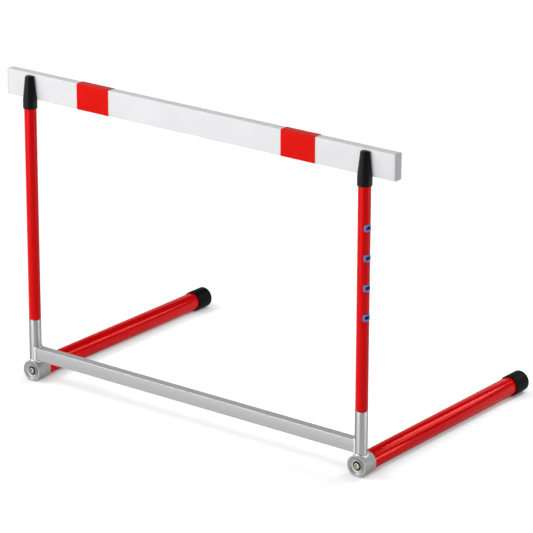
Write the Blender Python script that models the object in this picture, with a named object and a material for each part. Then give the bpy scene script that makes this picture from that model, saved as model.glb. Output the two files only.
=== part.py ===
"""Training hurdle with two telescoping uprights, built piece by piece.

Metres, +Z up. X runs along the bar, the feet reach back along +Y, and the
origin is on the floor under the middle of the whole hurdle. The bar stands at
its lowest setting, with both snap buttons held in.
"""

import math

import bmesh
import bpy
from mathutils import Matrix, Vector

# Overall sizes
BAR_LENGTH = 1.226
BAR_OVERHANG = 0.083
BAR_TOP_HEIGHT = 0.838
FOOT_REACH = 0.718

# General fits
SEAT_GAP = 0.0003
CUTTER_MARGIN = 0.004

# Bar
BAR_HEIGHT = 0.068
BAR_THICKNESS = 0.027
BAR_WALL = 0.002
BAR_EDGE_RADIUS = 0.0035
BAR_PLUG_PLATE = 0.0025
BAR_PLUG_DEPTH = 0.014
BAND_WIDTH = 0.104
BAND_INSET = 0.288
BAND_THICKNESS = 0.0006
SPACER_WIDTH = 0.026

# Bar bolts
BAR_BOLT_RADIUS = 0.003
BAR_BOLT_HEAD_RADIUS = 0.0056
BAR_BOLT_HEAD_HEIGHT = 0.0032
BAR_BOLT_SOCKET_FLATS = 0.004
BAR_BOLT_SOCKET_DEPTH = 0.0018
BAR_BOLT_LOW = 0.016
BAR_BOLT_HIGH = 0.042
BAR_BOLT_GRIP = 0.012

# Uprights
UPRIGHT_RADIUS = 0.016
UPRIGHT_WALL = 0.0015
SOCKET_TOP = 0.170
SOCKET_WALL = 0.003
SPIGOT_DOWN = 0.045
SPIGOT_UP = 0.055
SPIGOT_WALL = 0.0025

# Height holes and their rings
HEIGHT_STEP = 0.0762
HEIGHT_COUNT = 4
TOP_RING_HEIGHT = 0.644
RING_RADIUS = 0.0095
RING_HOLE_RADIUS = 0.00475
RING_SLEEVE_RADIUS = 0.0063
RING_FLANGE = 0.0011
RING_TURN = math.radians(17.0)

# Sliding tubes
MAST_RADIUS = 0.0125
MAST_WALL = 0.0015
MAST_TAIL = 0.039
BUSH_LENGTH = 0.022
BUSH_LIP = 0.0015

# Snap buttons
BUTTON_RADIUS = 0.0042
BUTTON_DOME = 0.0012
BUTTON_REST_TIP = 0.0128
BUTTON_TRAVEL = 0.0046
BUTTON_FLANGE_RADIUS = 0.006
BUTTON_FLANGE = 0.0012
BUTTON_FLANGE_FACE = 0.0043
SPRING_WIDTH = 0.008
SPRING_STRIP = 0.0008
SPRING_NEAR = 0.0022
SPRING_FAR = 0.0092
SPRING_DROP = 0.022
SPRING_RISE = 0.009

# Bar holders
SKIRT_RADIUS = 0.0188
SKIRT_HEIGHT = 0.022
HOLDER_TOP_DROP = 0.005
HOLDER_TOP_HALF_WIDTH = 0.0133
HOLDER_TOP_HALF_DEPTH = 0.005
HOLDER_SHOULDER = 0.0045
HOLDER_PAD_WIDTH = 0.014
HOLDER_PAD_HEIGHT = 0.053
HOLDER_BACK = 0.0067
HOLDER_SPIGOT = 0.066
HOLDER_PIN_RADIUS = 0.002
HOLDER_PIN_DROP = 0.052

# Hubs
HUB_RADIUS = 0.028
HUB_LENGTH = 0.046
HUB_AHEAD = 0.019
FACE_SETBACK = 0.0008
FACE_THICKNESS = 0.015
DISH_RADIUS = 0.0234
DISH_DEPTH = 0.0055
COLLAR_RADIUS = 0.0134
COLLAR_SETBACK = 0.002
COUNTERBORE_RADIUS = 0.011
COUNTERBORE_DEPTH = 0.0105

# Tie bolts
TIE_RADIUS = 0.005
TIE_HEAD_RADIUS = 0.008
TIE_HEAD_LENGTH = 0.008
TIE_SOCKET_FLATS = 0.008
TIE_SOCKET_DEPTH = 0.005
TIE_GRIP = 0.018
WASHER_RADIUS = 0.010
WASHER_THICKNESS = 0.002

# Feet
FOOT_RADIUS = 0.025
FOOT_WALL = 0.0015
PLUG_LENGTH = 0.020
CAP_LENGTH = 0.057
CAP_END = 0.006
CAP_ROUNDING = 0.004

# Crossbar and welds
CROSSBAR_HEIGHT = 0.034
CROSSBAR_DEPTH = 0.025
CROSSBAR_WALL = 0.002
CROSSBAR_LIFT = 0.0025
CROSSBAR_EDGE_RADIUS = 0.0015
WELD_RADIUS = 0.0019

# Facets round a full turn
HUB_FACETS = 32
TUBE_FACETS = 24
SMALL_FACETS = 16
HEX_FACETS = 6
CORNER_STEPS = 3

# Sizes that follow from the ones above
UPRIGHT_SPACING = BAR_LENGTH - 2 * BAR_OVERHANG
HALF_SPACING = UPRIGHT_SPACING / 2
BAND_OFFSET = BAR_LENGTH / 2 - BAND_INSET
UPRIGHT_Y = -(FOOT_REACH - HUB_AHEAD) / 2
HUB_FRONT = -HUB_AHEAD
UPRIGHT_BORE = UPRIGHT_RADIUS - UPRIGHT_WALL
SOCKET_BORE = UPRIGHT_RADIUS - SOCKET_WALL
MAST_BORE = MAST_RADIUS - MAST_WALL
FOOT_BORE = FOOT_RADIUS - FOOT_WALL
HUB_BORE = FOOT_RADIUS + SEAT_GAP
BAR_FRONT = HOLDER_BACK + SEAT_GAP
BAR_BOTTOM = BAR_TOP_HEIGHT - BAR_HEIGHT
BAR_TUBE_LENGTH = BAR_LENGTH - 2 * (BAR_PLUG_PLATE + SEAT_GAP)
HOLDER_TOP = BAR_TOP_HEIGHT - HOLDER_TOP_DROP
SKIRT_TOP = BAR_BOTTOM - SEAT_GAP
SKIRT_BOTTOM = SKIRT_TOP - SKIRT_HEIGHT
SHOULDER = SKIRT_TOP - HOLDER_SHOULDER
OUTER_TOP = SHOULDER - BUSH_LIP - 2 * SEAT_GAP
LOWEST_RING_HEIGHT = TOP_RING_HEIGHT - HEIGHT_STEP * (HEIGHT_COUNT - 1)
MAST_BOTTOM = LOWEST_RING_HEIGHT - MAST_TAIL
MAST_TOP = SHOULDER - SEAT_GAP
HOLDER_PIN_HEIGHT = SHOULDER - HOLDER_PIN_DROP
CROSSBAR_BOTTOM = 2 * HUB_RADIUS + CROSSBAR_LIFT
FACE_REAR = FACE_SETBACK + FACE_THICKNESS
FOOT_START = FACE_REAR + SEAT_GAP
FOOT_END = HUB_AHEAD + FOOT_REACH - CAP_END - SEAT_GAP
TIE_SEAT = COLLAR_SETBACK + COUNTERBORE_DEPTH - SEAT_GAP
TIE_UNDERHEAD = TIE_SEAT - WASHER_THICKNESS - SEAT_GAP

SIDES = {"left": -1, "right": 1}
QUARTER_TURN = math.pi / 2
MERGE_DISTANCE = 1e-7


def clear_scene():
    for old in list(bpy.data.objects):
        bpy.data.objects.remove(old, do_unlink=True)


def finish(name, colour, roughness, metallic=0.0):
    """A material with one Principled shader."""
    material = bpy.data.materials.new(name)
    material.use_nodes = True
    shader = material.node_tree.nodes["Principled BSDF"]
    shader.inputs["Base Color"].default_value = (*colour, 1.0)
    shader.inputs["Roughness"].default_value = roughness
    shader.inputs["Metallic"].default_value = metallic
    return material


def empty(name, location=(0, 0, 0), parent=None):
    holder = bpy.data.objects.new(name, None)
    holder.location = location
    holder.parent = parent
    bpy.context.scene.collection.objects.link(holder)
    return holder


def piece(name, mesh, material, parent, location=(0, 0, 0), turn=0.0):
    """A visible sub-part, placed under its parent and turned about the vertical."""
    mesh.name = name
    mesh.materials.clear()
    mesh.materials.append(material)
    made = bpy.data.objects.new(name, mesh)
    made.location = location
    made.rotation_euler = (0, 0, turn)
    made.parent = parent
    bpy.context.scene.collection.objects.link(made)
    return made


def shape_with(target, tool_mesh, operation="DIFFERENCE", parent=None, location=(0, 0, 0), turn=0.0):
    """Cuts or joins a hidden tool shape with the target."""
    tool = bpy.data.objects.new(target.name + "_tool", tool_mesh)
    tool.location = location
    tool.rotation_euler = (0, 0, turn)
    tool.parent = parent if parent is not None else target.parent
    tool.hide_render = True
    tool.display_type = "WIRE"
    bpy.context.scene.collection.objects.link(tool)
    modifier = target.modifiers.new("shape", "BOOLEAN")
    modifier.operation = operation
    modifier.object = tool
    return tool


def mesh_from(work, smooth=True):
    """Closes a bmesh into a mesh whose faces point out."""
    bmesh.ops.remove_doubles(work, verts=work.verts, dist=MERGE_DISTANCE)
    bmesh.ops.recalc_face_normals(work, faces=work.faces)
    mesh = bpy.data.meshes.new("mesh")
    work.to_mesh(mesh)
    work.free()
    if smooth:
        mesh.shade_smooth()
        mesh.set_sharp_from_angle(angle=math.radians(35))
    return mesh


def turned(profile, facets, outside=False):
    """Turns a closed outline of (radius, height) about Z.

    With outside set, the flats of the facets, not their corners, lie on the
    stated radius, and one flat faces straight down once the axis lies level.
    """
    stretch = 1 / math.cos(math.pi / facets) if outside else 1.0
    phase = math.pi / facets if outside else 0.0
    start = Matrix.Rotation(phase, 3, "Z")
    work = bmesh.new()
    points = [work.verts.new(start @ Vector((radius * stretch, 0, height))) for radius, height in profile]
    edges = [work.edges.new((first, second)) for first, second in zip(points, points[1:] + points[:1])]
    bmesh.ops.spin(
        work,
        geom=points + edges,
        cent=(0, 0, 0),
        axis=(0, 0, 1),
        angle=2 * math.pi,
        steps=facets,
        use_merge=True,
    )
    return mesh_from(work)


def tube(outer, inner, low, high, facets=TUBE_FACETS, outside=False):
    return turned([(outer, high), (outer, low), (inner, low), (inner, high)], facets, outside)


def rod(radius, low, high, facets=TUBE_FACETS):
    """A solid cylinder along Z."""
    work = bmesh.new()
    bmesh.ops.create_cone(
        work,
        cap_ends=True,
        segments=facets,
        radius1=radius,
        radius2=radius,
        depth=high - low,
        matrix=Matrix.Translation((0, 0, (low + high) / 2)),
    )
    return mesh_from(work)


def block(width, depth, height, centre=(0, 0, 0)):
    work = bmesh.new()
    size = Matrix.Diagonal((width, depth, height, 1))
    bmesh.ops.create_cube(work, size=1, matrix=Matrix.Translation(centre) @ size)
    return mesh_from(work, smooth=False)


def laid(mesh, axis):
    """Lays a shape made along Z down along X or Y."""
    if axis == "X":
        mesh.transform(Matrix.Rotation(QUARTER_TURN, 4, "Y"))
    else:
        mesh.transform(Matrix.Rotation(-QUARTER_TURN, 4, "X"))
    return mesh


def rounded_rectangle(width, height, radius):
    """Points round a rectangle with arcs at its corners."""
    points = []
    for corner in range(4):
        sign_x = 1 if corner in (0, 3) else -1
        sign_y = 1 if corner in (0, 1) else -1
        centre = (sign_x * (width / 2 - radius), sign_y * (height / 2 - radius))
        for step in range(CORNER_STEPS + 1):
            angle = (corner + step / CORNER_STEPS) * QUARTER_TURN
            points.append((centre[0] + radius * math.cos(angle), centre[1] + radius * math.sin(angle)))
    return points


def extruded(outline, length):
    """A solid of this outline, drawn in the YZ plane, centred along X."""
    work = bmesh.new()
    face = work.faces.new([work.verts.new((-length / 2, y, z)) for y, z in outline])
    drawn = bmesh.ops.extrude_face_region(work, geom=[face])
    moved = [item for item in drawn["geom"] if isinstance(item, bmesh.types.BMVert)]
    bmesh.ops.translate(work, vec=(length, 0, 0), verts=moved)
    return mesh_from(work)


def hollow_extruded(outer, inner, length):
    """A tube between two outlines with as many points, centred along X."""
    work = bmesh.new()
    loops = []
    for outline, x in ((outer, -length / 2), (outer, length / 2), (inner, length / 2), (inner, -length / 2)):
        loops.append([work.verts.new((x, y, z)) for y, z in outline])
    count = len(outer)
    for first, second in zip(loops, loops[1:] + loops[:1]):
        for index in range(count):
            after = (index + 1) % count
            work.faces.new((first[index], first[after], second[after], second[index]))
    return mesh_from(work)


def strip(path, thickness, width):
    """A bent strip whose middle line is a path of (x, z), as wide along Y."""
    left, right = [], []
    for index, here in enumerate(path):
        before = Vector(path[max(index - 1, 0)])
        after = Vector(path[min(index + 1, len(path) - 1)])
        along = (after - before).normalized()
        across = Vector((-along.y, along.x)) * thickness / 2
        left.append(Vector(here) + across)
        right.append(Vector(here) - across)
    outline = left + right[::-1]
    work = bmesh.new()
    face = work.faces.new([work.verts.new((point.x, -width / 2, point.y)) for point in outline])
    drawn = bmesh.ops.extrude_face_region(work, geom=[face])
    moved = [item for item in drawn["geom"] if isinstance(item, bmesh.types.BMVert)]
    bmesh.ops.translate(work, vec=(0, width, 0), verts=moved)
    return mesh_from(work, smooth=False)


def grid_ring(sections):
    """Joins closed sections, each a list of points, into one closed ring."""
    work = bmesh.new()
    loops = [[work.verts.new(point) for point in section] for section in sections]
    count = len(loops[0])
    for first, second in zip(loops, loops[1:] + loops[:1]):
        for index in range(count):
            after = (index + 1) % count
            work.faces.new((first[index], first[after], second[after], second[index]))
    return mesh_from(work)


def hex_prism(flats, low, high):
    return rod(flats / 2 / math.cos(math.pi / HEX_FACETS), low, high, HEX_FACETS)


def outward_turn(side):
    """The heading of the height holes: outwards, a little to the front on the right and to the back
    on the left, because both uprights are the same part and one is turned round."""
    return -RING_TURN if side > 0 else math.pi - RING_TURN


# Base frame


def add_hub(label, frame, looks):
    """Short level tube that carries an upright and clamps a foot."""
    shape = tube(HUB_RADIUS, HUB_BORE, HUB_FRONT, HUB_FRONT + HUB_LENGTH, HUB_FACETS, outside=True)
    piece("hub_" + label, laid(shape, "Y"), looks["aluminium"], frame, (0, 0, HUB_RADIUS))


def add_hub_face(label, frame, looks):
    """Dished end disc with a collar round the bolt's counterbore."""
    hole = TIE_RADIUS + SEAT_GAP
    profile = [
        (FOOT_RADIUS, FACE_SETBACK),
        (FOOT_RADIUS, FACE_REAR),
        (hole, FACE_REAR),
        (hole, COLLAR_SETBACK + COUNTERBORE_DEPTH),
        (COUNTERBORE_RADIUS, COLLAR_SETBACK + COUNTERBORE_DEPTH),
        (COUNTERBORE_RADIUS, COLLAR_SETBACK),
        (COLLAR_RADIUS, COLLAR_SETBACK),
        (COLLAR_RADIUS, FACE_SETBACK + DISH_DEPTH),
        (DISH_RADIUS, FACE_SETBACK),
    ]
    shape = laid(turned(profile, HUB_FACETS, outside=False), "Y")
    piece("hub_face_" + label, shape, looks["cast_aluminium"], frame, (0, HUB_FRONT, HUB_RADIUS))


def add_tie_bolt(label, frame, looks):
    """Socket screw that draws the foot into the hub, with its washer."""
    head_top = TIE_UNDERHEAD - TIE_HEAD_LENGTH
    chamfer = TIE_HEAD_RADIUS / 10
    profile = [
        (0, head_top),
        (TIE_HEAD_RADIUS - chamfer, head_top),
        (TIE_HEAD_RADIUS, head_top + chamfer),
        (TIE_HEAD_RADIUS, TIE_UNDERHEAD),
        (TIE_RADIUS, TIE_UNDERHEAD),
        (TIE_RADIUS, FOOT_START + TIE_GRIP),
        (0, FOOT_START + TIE_GRIP),
    ]
    place = (0, HUB_FRONT, HUB_RADIUS)
    bolt = piece("tie_bolt_" + label, laid(turned(profile, SMALL_FACETS), "Y"), looks["zinc"], frame, place)
    socket = hex_prism(TIE_SOCKET_FLATS, head_top - CUTTER_MARGIN, head_top + TIE_SOCKET_DEPTH)
    shape_with(bolt, laid(socket, "Y"), location=place)
    washer = tube(WASHER_RADIUS, TIE_RADIUS + SEAT_GAP, TIE_SEAT - WASHER_THICKNESS, TIE_SEAT, SMALL_FACETS)
    piece("tie_washer_" + label, laid(washer, "Y"), looks["zinc"], frame, place)


def add_foot(label, frame, looks):
    """Red foot tube with its threaded plug and its rubber end cap."""
    place = (0, HUB_FRONT, HUB_RADIUS)
    foot = tube(FOOT_RADIUS, FOOT_BORE, FOOT_START, FOOT_END, HUB_FACETS)
    piece("foot_tube_" + label, laid(foot, "Y"), looks["red"], frame, place)

    plug = tube(FOOT_BORE - SEAT_GAP, TIE_RADIUS + SEAT_GAP, FOOT_START, FOOT_START + PLUG_LENGTH)
    piece("foot_plug_" + label, laid(plug, "Y"), looks["steel"], frame, place)

    tail = FOOT_END + SEAT_GAP + CAP_END
    profile = [(FOOT_RADIUS + SEAT_GAP, tail - CAP_LENGTH)]
    lip = (HUB_RADIUS - FOOT_RADIUS) / 3
    profile += [(HUB_RADIUS - lip, tail - CAP_LENGTH), (HUB_RADIUS, tail - CAP_LENGTH + lip)]
    for step in range(CORNER_STEPS + 1):
        angle = step / CORNER_STEPS * QUARTER_TURN
        radius = HUB_RADIUS - CAP_ROUNDING + CAP_ROUNDING * math.cos(angle)
        profile.append((radius, tail - CAP_ROUNDING + CAP_ROUNDING * math.sin(angle)))
    profile += [(0, tail), (0, FOOT_END + SEAT_GAP), (FOOT_RADIUS + SEAT_GAP, FOOT_END + SEAT_GAP)]
    cap = laid(turned(profile, HUB_FACETS, outside=True), "Y")
    piece("foot_cap_" + label, cap, looks["rubber"], frame, place)


def add_socket(label, frame, looks):
    """Aluminium upright stub, coped to sit on the hub."""
    stub = piece(
        "upright_socket_" + label,
        tube(UPRIGHT_RADIUS, SOCKET_BORE, HUB_RADIUS, SOCKET_TOP),
        looks["aluminium"],
        frame,
    )
    reach = HUB_LENGTH + CUTTER_MARGIN
    cope = laid(rod(HUB_RADIUS + 2 * SEAT_GAP, -reach / 2, reach / 2, HUB_FACETS * 2), "Y")
    shape_with(stub, cope, location=(0, 0, HUB_RADIUS))


def add_spigot(label, frame, looks):
    """Stepped sleeve that joins the red tube to the stub."""
    low = SOCKET_BORE - SEAT_GAP
    high = UPRIGHT_BORE - SEAT_GAP
    bore = low - SPIGOT_WALL
    step = SOCKET_TOP + SEAT_GAP
    profile = [
        (high, step + SPIGOT_UP),
        (high, step),
        (low, step),
        (low, step - SPIGOT_DOWN),
        (bore, step - SPIGOT_DOWN),
        (bore, step + SPIGOT_UP),
    ]
    piece("upright_spigot_" + label, turned(profile, TUBE_FACETS), looks["cast_aluminium"], frame)


def add_upright(label, side, frame, looks):
    """Red outer tube with its row of height holes, the rings in them and the top bush."""
    outer = piece(
        "upright_tube_" + label,
        tube(UPRIGHT_RADIUS, UPRIGHT_BORE, SOCKET_TOP + 2 * SEAT_GAP, OUTER_TOP),
        looks["red"],
        frame,
    )
    turn = outward_turn(side)
    for index in range(HEIGHT_COUNT):
        height = TOP_RING_HEIGHT - index * HEIGHT_STEP
        hole = rod(RING_SLEEVE_RADIUS + SEAT_GAP, MAST_RADIUS, UPRIGHT_RADIUS + CUTTER_MARGIN, SMALL_FACETS)
        shape_with(outer, laid(hole, "X"), location=(0, 0, height), turn=turn)
        name = "height_ring_%s_%d" % (label, HEIGHT_COUNT - index)
        piece(name, ring_mesh(), looks["blue"], frame, (0, 0, height), turn)

    sleeve = UPRIGHT_BORE - SEAT_GAP
    bore = MAST_RADIUS + SEAT_GAP
    seat = OUTER_TOP + SEAT_GAP
    profile = [
        (UPRIGHT_RADIUS, seat + BUSH_LIP),
        (UPRIGHT_RADIUS, seat),
        (sleeve, seat),
        (sleeve, seat - BUSH_LENGTH),
        (bore, seat - BUSH_LENGTH),
        (bore, seat + BUSH_LIP),
    ]
    piece("guide_bush_" + label, turned(profile, TUBE_FACETS), looks["nylon"], frame)


def ring_mesh():
    """Plastic ring that lines a height hole, its flange curved to the tube, facing +X."""
    inner = UPRIGHT_BORE + SEAT_GAP
    seat = UPRIGHT_RADIUS + SEAT_GAP
    face = seat + RING_FLANGE
    soft = RING_FLANGE / 2
    outline = [
        (RING_HOLE_RADIUS, inner),
        (RING_SLEEVE_RADIUS, inner),
        (RING_SLEEVE_RADIUS, seat),
        (RING_RADIUS, seat),
        (RING_RADIUS, face - soft),
        (RING_RADIUS - soft, face),
        (RING_HOLE_RADIUS + soft, face),
        (RING_HOLE_RADIUS, face - soft),
    ]
    sections = []
    for index in range(SMALL_FACETS):
        angle = 2 * math.pi * index / SMALL_FACETS
        section = []
        for away, reach in outline:
            across = away * math.sin(angle)
            section.append((math.sqrt(reach**2 - across**2), across, away * math.cos(angle)))
        sections.append(section)
    return grid_ring(sections)


def crossbar_outline(spare=0.0):
    return rounded_rectangle(
        CROSSBAR_DEPTH + 2 * spare, CROSSBAR_HEIGHT + 2 * spare, CROSSBAR_EDGE_RADIUS + spare
    )


def resampled(outline, longest):
    """The same closed outline with its long sides split into shorter ones."""
    points = []
    for here, after in zip(outline, outline[1:] + outline[:1]):
        count = max(1, math.ceil(math.dist(here, after) / longest))
        for step in range(count):
            share = step / count
            points.append(tuple(a + (b - a) * share for a, b in zip(here, after)))
    return points


def add_crossbar(frame, looks):
    """Rectangular tube between the stubs, its ends coped to them."""
    inner = rounded_rectangle(
        CROSSBAR_DEPTH - 2 * CROSSBAR_WALL, CROSSBAR_HEIGHT - 2 * CROSSBAR_WALL, CROSSBAR_EDGE_RADIUS / 2
    )
    height = CROSSBAR_BOTTOM + CROSSBAR_HEIGHT / 2
    shape = hollow_extruded(crossbar_outline(), inner, UPRIGHT_SPACING)
    bar = piece("crossbar", shape, looks["aluminium"], frame, (0, UPRIGHT_Y, height))
    for side in SIDES.values():
        reach = CROSSBAR_HEIGHT + 2 * CUTTER_MARGIN
        cope = rod(UPRIGHT_RADIUS + SEAT_GAP, -reach / 2, reach / 2)
        shape_with(bar, cope, parent=frame, location=(side * HALF_SPACING, UPRIGHT_Y, height))


def add_welds(label, side, frame, looks):
    """Fillet beads round the stub's foot and round the crossbar's end."""
    hub_bead = []
    for index in range(TUBE_FACETS):
        angle = 2 * math.pi * index / TUBE_FACETS
        out = Vector((math.cos(angle), math.sin(angle), 0))
        level = HUB_RADIUS + math.sqrt(HUB_RADIUS**2 - (UPRIGHT_RADIUS * out.x) ** 2)
        middle = out * UPRIGHT_RADIUS + Vector((0, 0, level))
        hub_bead.append(bead_section(middle, out, Vector((0, 0, 1))))
    lower = piece("hub_weld_" + label, grid_ring(hub_bead), looks["weld"], frame)
    reach = HUB_LENGTH + CUTTER_MARGIN
    hub_shape = laid(rod(HUB_RADIUS + 2 * SEAT_GAP, -reach / 2, reach / 2, HUB_FACETS * 2), "Y")
    shape_with(lower, hub_shape, location=(0, 0, HUB_RADIUS))
    stub_low, stub_high = HUB_RADIUS, CROSSBAR_BOTTOM + 2 * CROSSBAR_HEIGHT
    shape_with(lower, rod(UPRIGHT_RADIUS + SEAT_GAP, stub_low, stub_high))

    inward = Vector((-side, 0, 0))
    height = CROSSBAR_BOTTOM + CROSSBAR_HEIGHT / 2
    outline = resampled(crossbar_outline(), CROSSBAR_DEPTH / 8)
    cross_bead = []
    for index, (depth, rise) in enumerate(outline):
        before, after = outline[index - 1], outline[(index + 1) % len(outline)]
        along = Vector((0, after[0] - before[0], after[1] - before[1]))
        normal = Vector((0, along.z, -along.y)).normalized()
        stand = math.sqrt(UPRIGHT_RADIUS**2 - depth**2)
        middle = inward * stand + Vector((0, depth, height + rise))
        cross_bead.append(bead_section(middle, normal, inward))
    upper = piece("crossbar_weld_" + label, grid_ring(cross_bead), looks["weld"], frame)
    shape_with(upper, rod(UPRIGHT_RADIUS + SEAT_GAP, stub_low, stub_high))
    shape_with(upper, extruded(crossbar_outline(SEAT_GAP), UPRIGHT_SPACING), location=(0, 0, height))


def bead_section(middle, first, second):
    """Points round a bead's cross-section, which lies out from the corner that it fills."""
    centre = middle + (first + second) * WELD_RADIUS * 0.3
    count = SMALL_FACETS // 2
    points = []
    for index in range(count):
        angle = 2 * math.pi * index / count
        points.append(centre + WELD_RADIUS * (first * math.cos(angle) + second * math.sin(angle)))
    return points


# Sliding upper part


def add_mast(label, side, mast, looks):
    """Inner tube with its button hole, and the bush on its lower end."""
    inner = piece(
        "mast_tube_" + label, tube(MAST_RADIUS, MAST_BORE, MAST_BOTTOM, MAST_TOP), looks["red"], mast
    )
    turn = outward_turn(side)
    hole = rod(BUTTON_RADIUS + SEAT_GAP, MAST_BORE / 2, MAST_RADIUS + CUTTER_MARGIN, SMALL_FACETS)
    shape_with(inner, laid(hole, "X"), location=(0, 0, LOWEST_RING_HEIGHT), turn=turn)
    reach = MAST_RADIUS + CUTTER_MARGIN
    pin_hole = rod(HOLDER_PIN_RADIUS + SEAT_GAP, -reach, reach, SMALL_FACETS)
    shape_with(inner, laid(pin_hole, "Y"), location=(0, 0, HOLDER_PIN_HEIGHT))

    sleeve = UPRIGHT_BORE - SEAT_GAP
    seat = MAST_BOTTOM - SEAT_GAP
    profile = [
        (sleeve, seat + BUSH_LENGTH),
        (sleeve, seat - BUSH_LIP),
        (MAST_BORE, seat - BUSH_LIP),
        (MAST_BORE, seat),
        (MAST_RADIUS + SEAT_GAP, seat),
        (MAST_RADIUS + SEAT_GAP, seat + BUSH_LENGTH),
    ]
    piece("slide_bush_" + label, turned(profile, TUBE_FACETS), looks["nylon"], mast)


def add_button(label, side, slide, mast, looks):
    """Snap button and the strip spring behind it."""
    body_start = BUTTON_FLANGE_FACE
    shoulder = BUTTON_REST_TIP - BUTTON_DOME
    profile = [
        (0, body_start - BUTTON_FLANGE),
        (BUTTON_FLANGE_RADIUS, body_start - BUTTON_FLANGE),
        (BUTTON_FLANGE_RADIUS, body_start),
        (BUTTON_RADIUS, body_start),
        (BUTTON_RADIUS, shoulder),
        (BUTTON_RADIUS * 0.85, shoulder + BUTTON_DOME * 0.55),
        (BUTTON_RADIUS * 0.5, shoulder + BUTTON_DOME * 0.9),
        (0, BUTTON_REST_TIP),
    ]
    turn = outward_turn(side)
    piece("snap_button_" + label, laid(turned(profile, SMALL_FACETS), "X"), looks["zinc"], slide, turn=turn)

    bend = (SPRING_NEAR + SPRING_FAR) / 2
    middle = SPRING_NEAR - bend
    path = [(SPRING_NEAR, SPRING_RISE)]
    for step in range(2 * CORNER_STEPS + 1):
        angle = -step / (2 * CORNER_STEPS) * math.pi
        path.append((middle + bend * math.cos(angle), -SPRING_DROP + bend * math.sin(angle)))
    path.append((-SPRING_FAR, SPRING_RISE))
    spring = strip(path, SPRING_STRIP, SPRING_WIDTH)
    place = (0, 0, LOWEST_RING_HEIGHT)
    piece("button_spring_" + label, spring, looks["steel"], mast, place, turn)


def holder_section(share):
    """Closed outline of the holder at a share of its taper, round below and flat above."""
    half_width = SKIRT_RADIUS + (HOLDER_TOP_HALF_WIDTH - SKIRT_RADIUS) * share
    half_depth = SKIRT_RADIUS + (HOLDER_TOP_HALF_DEPTH - SKIRT_RADIUS) * share**1.3
    power = 2 / (2 + 2 * share)
    points = []
    for index in range(TUBE_FACETS):
        angle = 2 * math.pi * index / TUBE_FACETS
        cosine, sine = math.cos(angle), math.sin(angle)
        x = math.copysign(abs(cosine) ** power, cosine) * half_width
        y = math.copysign(abs(sine) ** power, sine) * half_depth
        points.append((x, y))
    return points


def holder_mesh():
    """Outer form of a holder: a skirt that tapers to a flat, rounded top."""
    rounding = HOLDER_TOP_HALF_DEPTH / 4
    taper = HOLDER_TOP - rounding - SKIRT_TOP
    lip = (SKIRT_RADIUS - UPRIGHT_RADIUS) / 4
    narrow = 1 - lip / SKIRT_RADIUS
    sections = [([(x * narrow, y * narrow) for x, y in holder_section(0)], SKIRT_BOTTOM)]
    sections.append((holder_section(0), SKIRT_BOTTOM + lip))
    sections.append((holder_section(0), SKIRT_TOP))
    for share in (0.2, 0.4, 0.6, 0.8, 1.0):
        sections.append((holder_section(share), SKIRT_TOP + taper * share))
    shrink_x = 1 - rounding / HOLDER_TOP_HALF_WIDTH
    shrink_y = 1 - rounding / HOLDER_TOP_HALF_DEPTH
    sections.append(([(x * shrink_x, y * shrink_y) for x, y in holder_section(1)], HOLDER_TOP))
    work = bmesh.new()
    loops = [[work.verts.new((x, y, z)) for x, y in outline] for outline, z in sections]
    for lower, upper in zip(loops, loops[1:]):
        for index in range(TUBE_FACETS):
            after = (index + 1) % TUBE_FACETS
            work.faces.new((lower[index], lower[after], upper[after], upper[index]))
    work.faces.new(loops[0])
    work.faces.new(loops[-1])
    return mesh_from(work)


def add_holder(label, mast, looks):
    """Black bar holder: skirt over the upright, spigot in the mast, pad behind for the bar."""
    holder = piece("bar_holder_" + label, holder_mesh(), looks["black"], mast)
    pocket = rod(UPRIGHT_RADIUS + SEAT_GAP, SKIRT_BOTTOM - CUTTER_MARGIN, SHOULDER)
    shape_with(holder, pocket)
    spigot = rod(MAST_BORE - SEAT_GAP, SHOULDER - HOLDER_SPIGOT, SHOULDER + HOLDER_SHOULDER / 2)
    shape_with(holder, spigot, "UNION")
    pad_low, pad_high = SKIRT_TOP - HOLDER_SHOULDER / 2, SKIRT_TOP + HOLDER_PAD_HEIGHT
    pad_back = HOLDER_BACK + SEAT_GAP
    pad = block(
        HOLDER_PAD_WIDTH, pad_back, pad_high - pad_low, (0, pad_back / 2, (pad_low + pad_high) / 2)
    )
    shape_with(holder, pad, "UNION")
    room = SKIRT_RADIUS + CUTTER_MARGIN
    rise = HOLDER_TOP - SKIRT_TOP + CUTTER_MARGIN
    back = block(2 * room, room, rise, (0, HOLDER_BACK + room / 2, SKIRT_TOP + rise / 2))
    shape_with(holder, back)
    for lift in (BAR_BOLT_LOW, BAR_BOLT_HIGH):
        depth = BAR_BOLT_GRIP + SEAT_GAP
        hole = laid(rod(BAR_BOLT_RADIUS + SEAT_GAP, HOLDER_BACK - depth, room, SMALL_FACETS), "Y")
        shape_with(holder, hole, location=(0, 0, BAR_BOTTOM + lift))
    pin_hole = laid(rod(HOLDER_PIN_RADIUS + SEAT_GAP, -room, room, SMALL_FACETS), "Y")
    shape_with(holder, pin_hole, location=(0, 0, HOLDER_PIN_HEIGHT))

    reach = MAST_RADIUS - SEAT_GAP
    pin = laid(rod(HOLDER_PIN_RADIUS, -reach, reach, SMALL_FACETS), "Y")
    piece("holder_pin_" + label, pin, looks["steel"], mast, (0, 0, HOLDER_PIN_HEIGHT))


def bar_bolt_places():
    """Label and (x, z) of each bar bolt."""
    for label, side in SIDES.items():
        yield label + "_lower", side * HALF_SPACING, BAR_BOTTOM + BAR_BOLT_LOW
        yield label + "_upper", side * HALF_SPACING, BAR_BOTTOM + BAR_BOLT_HIGH


def bar_bolt_hole(reach):
    return laid(rod(BAR_BOLT_RADIUS + SEAT_GAP, -CUTTER_MARGIN, reach, SMALL_FACETS), "Y")


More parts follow.
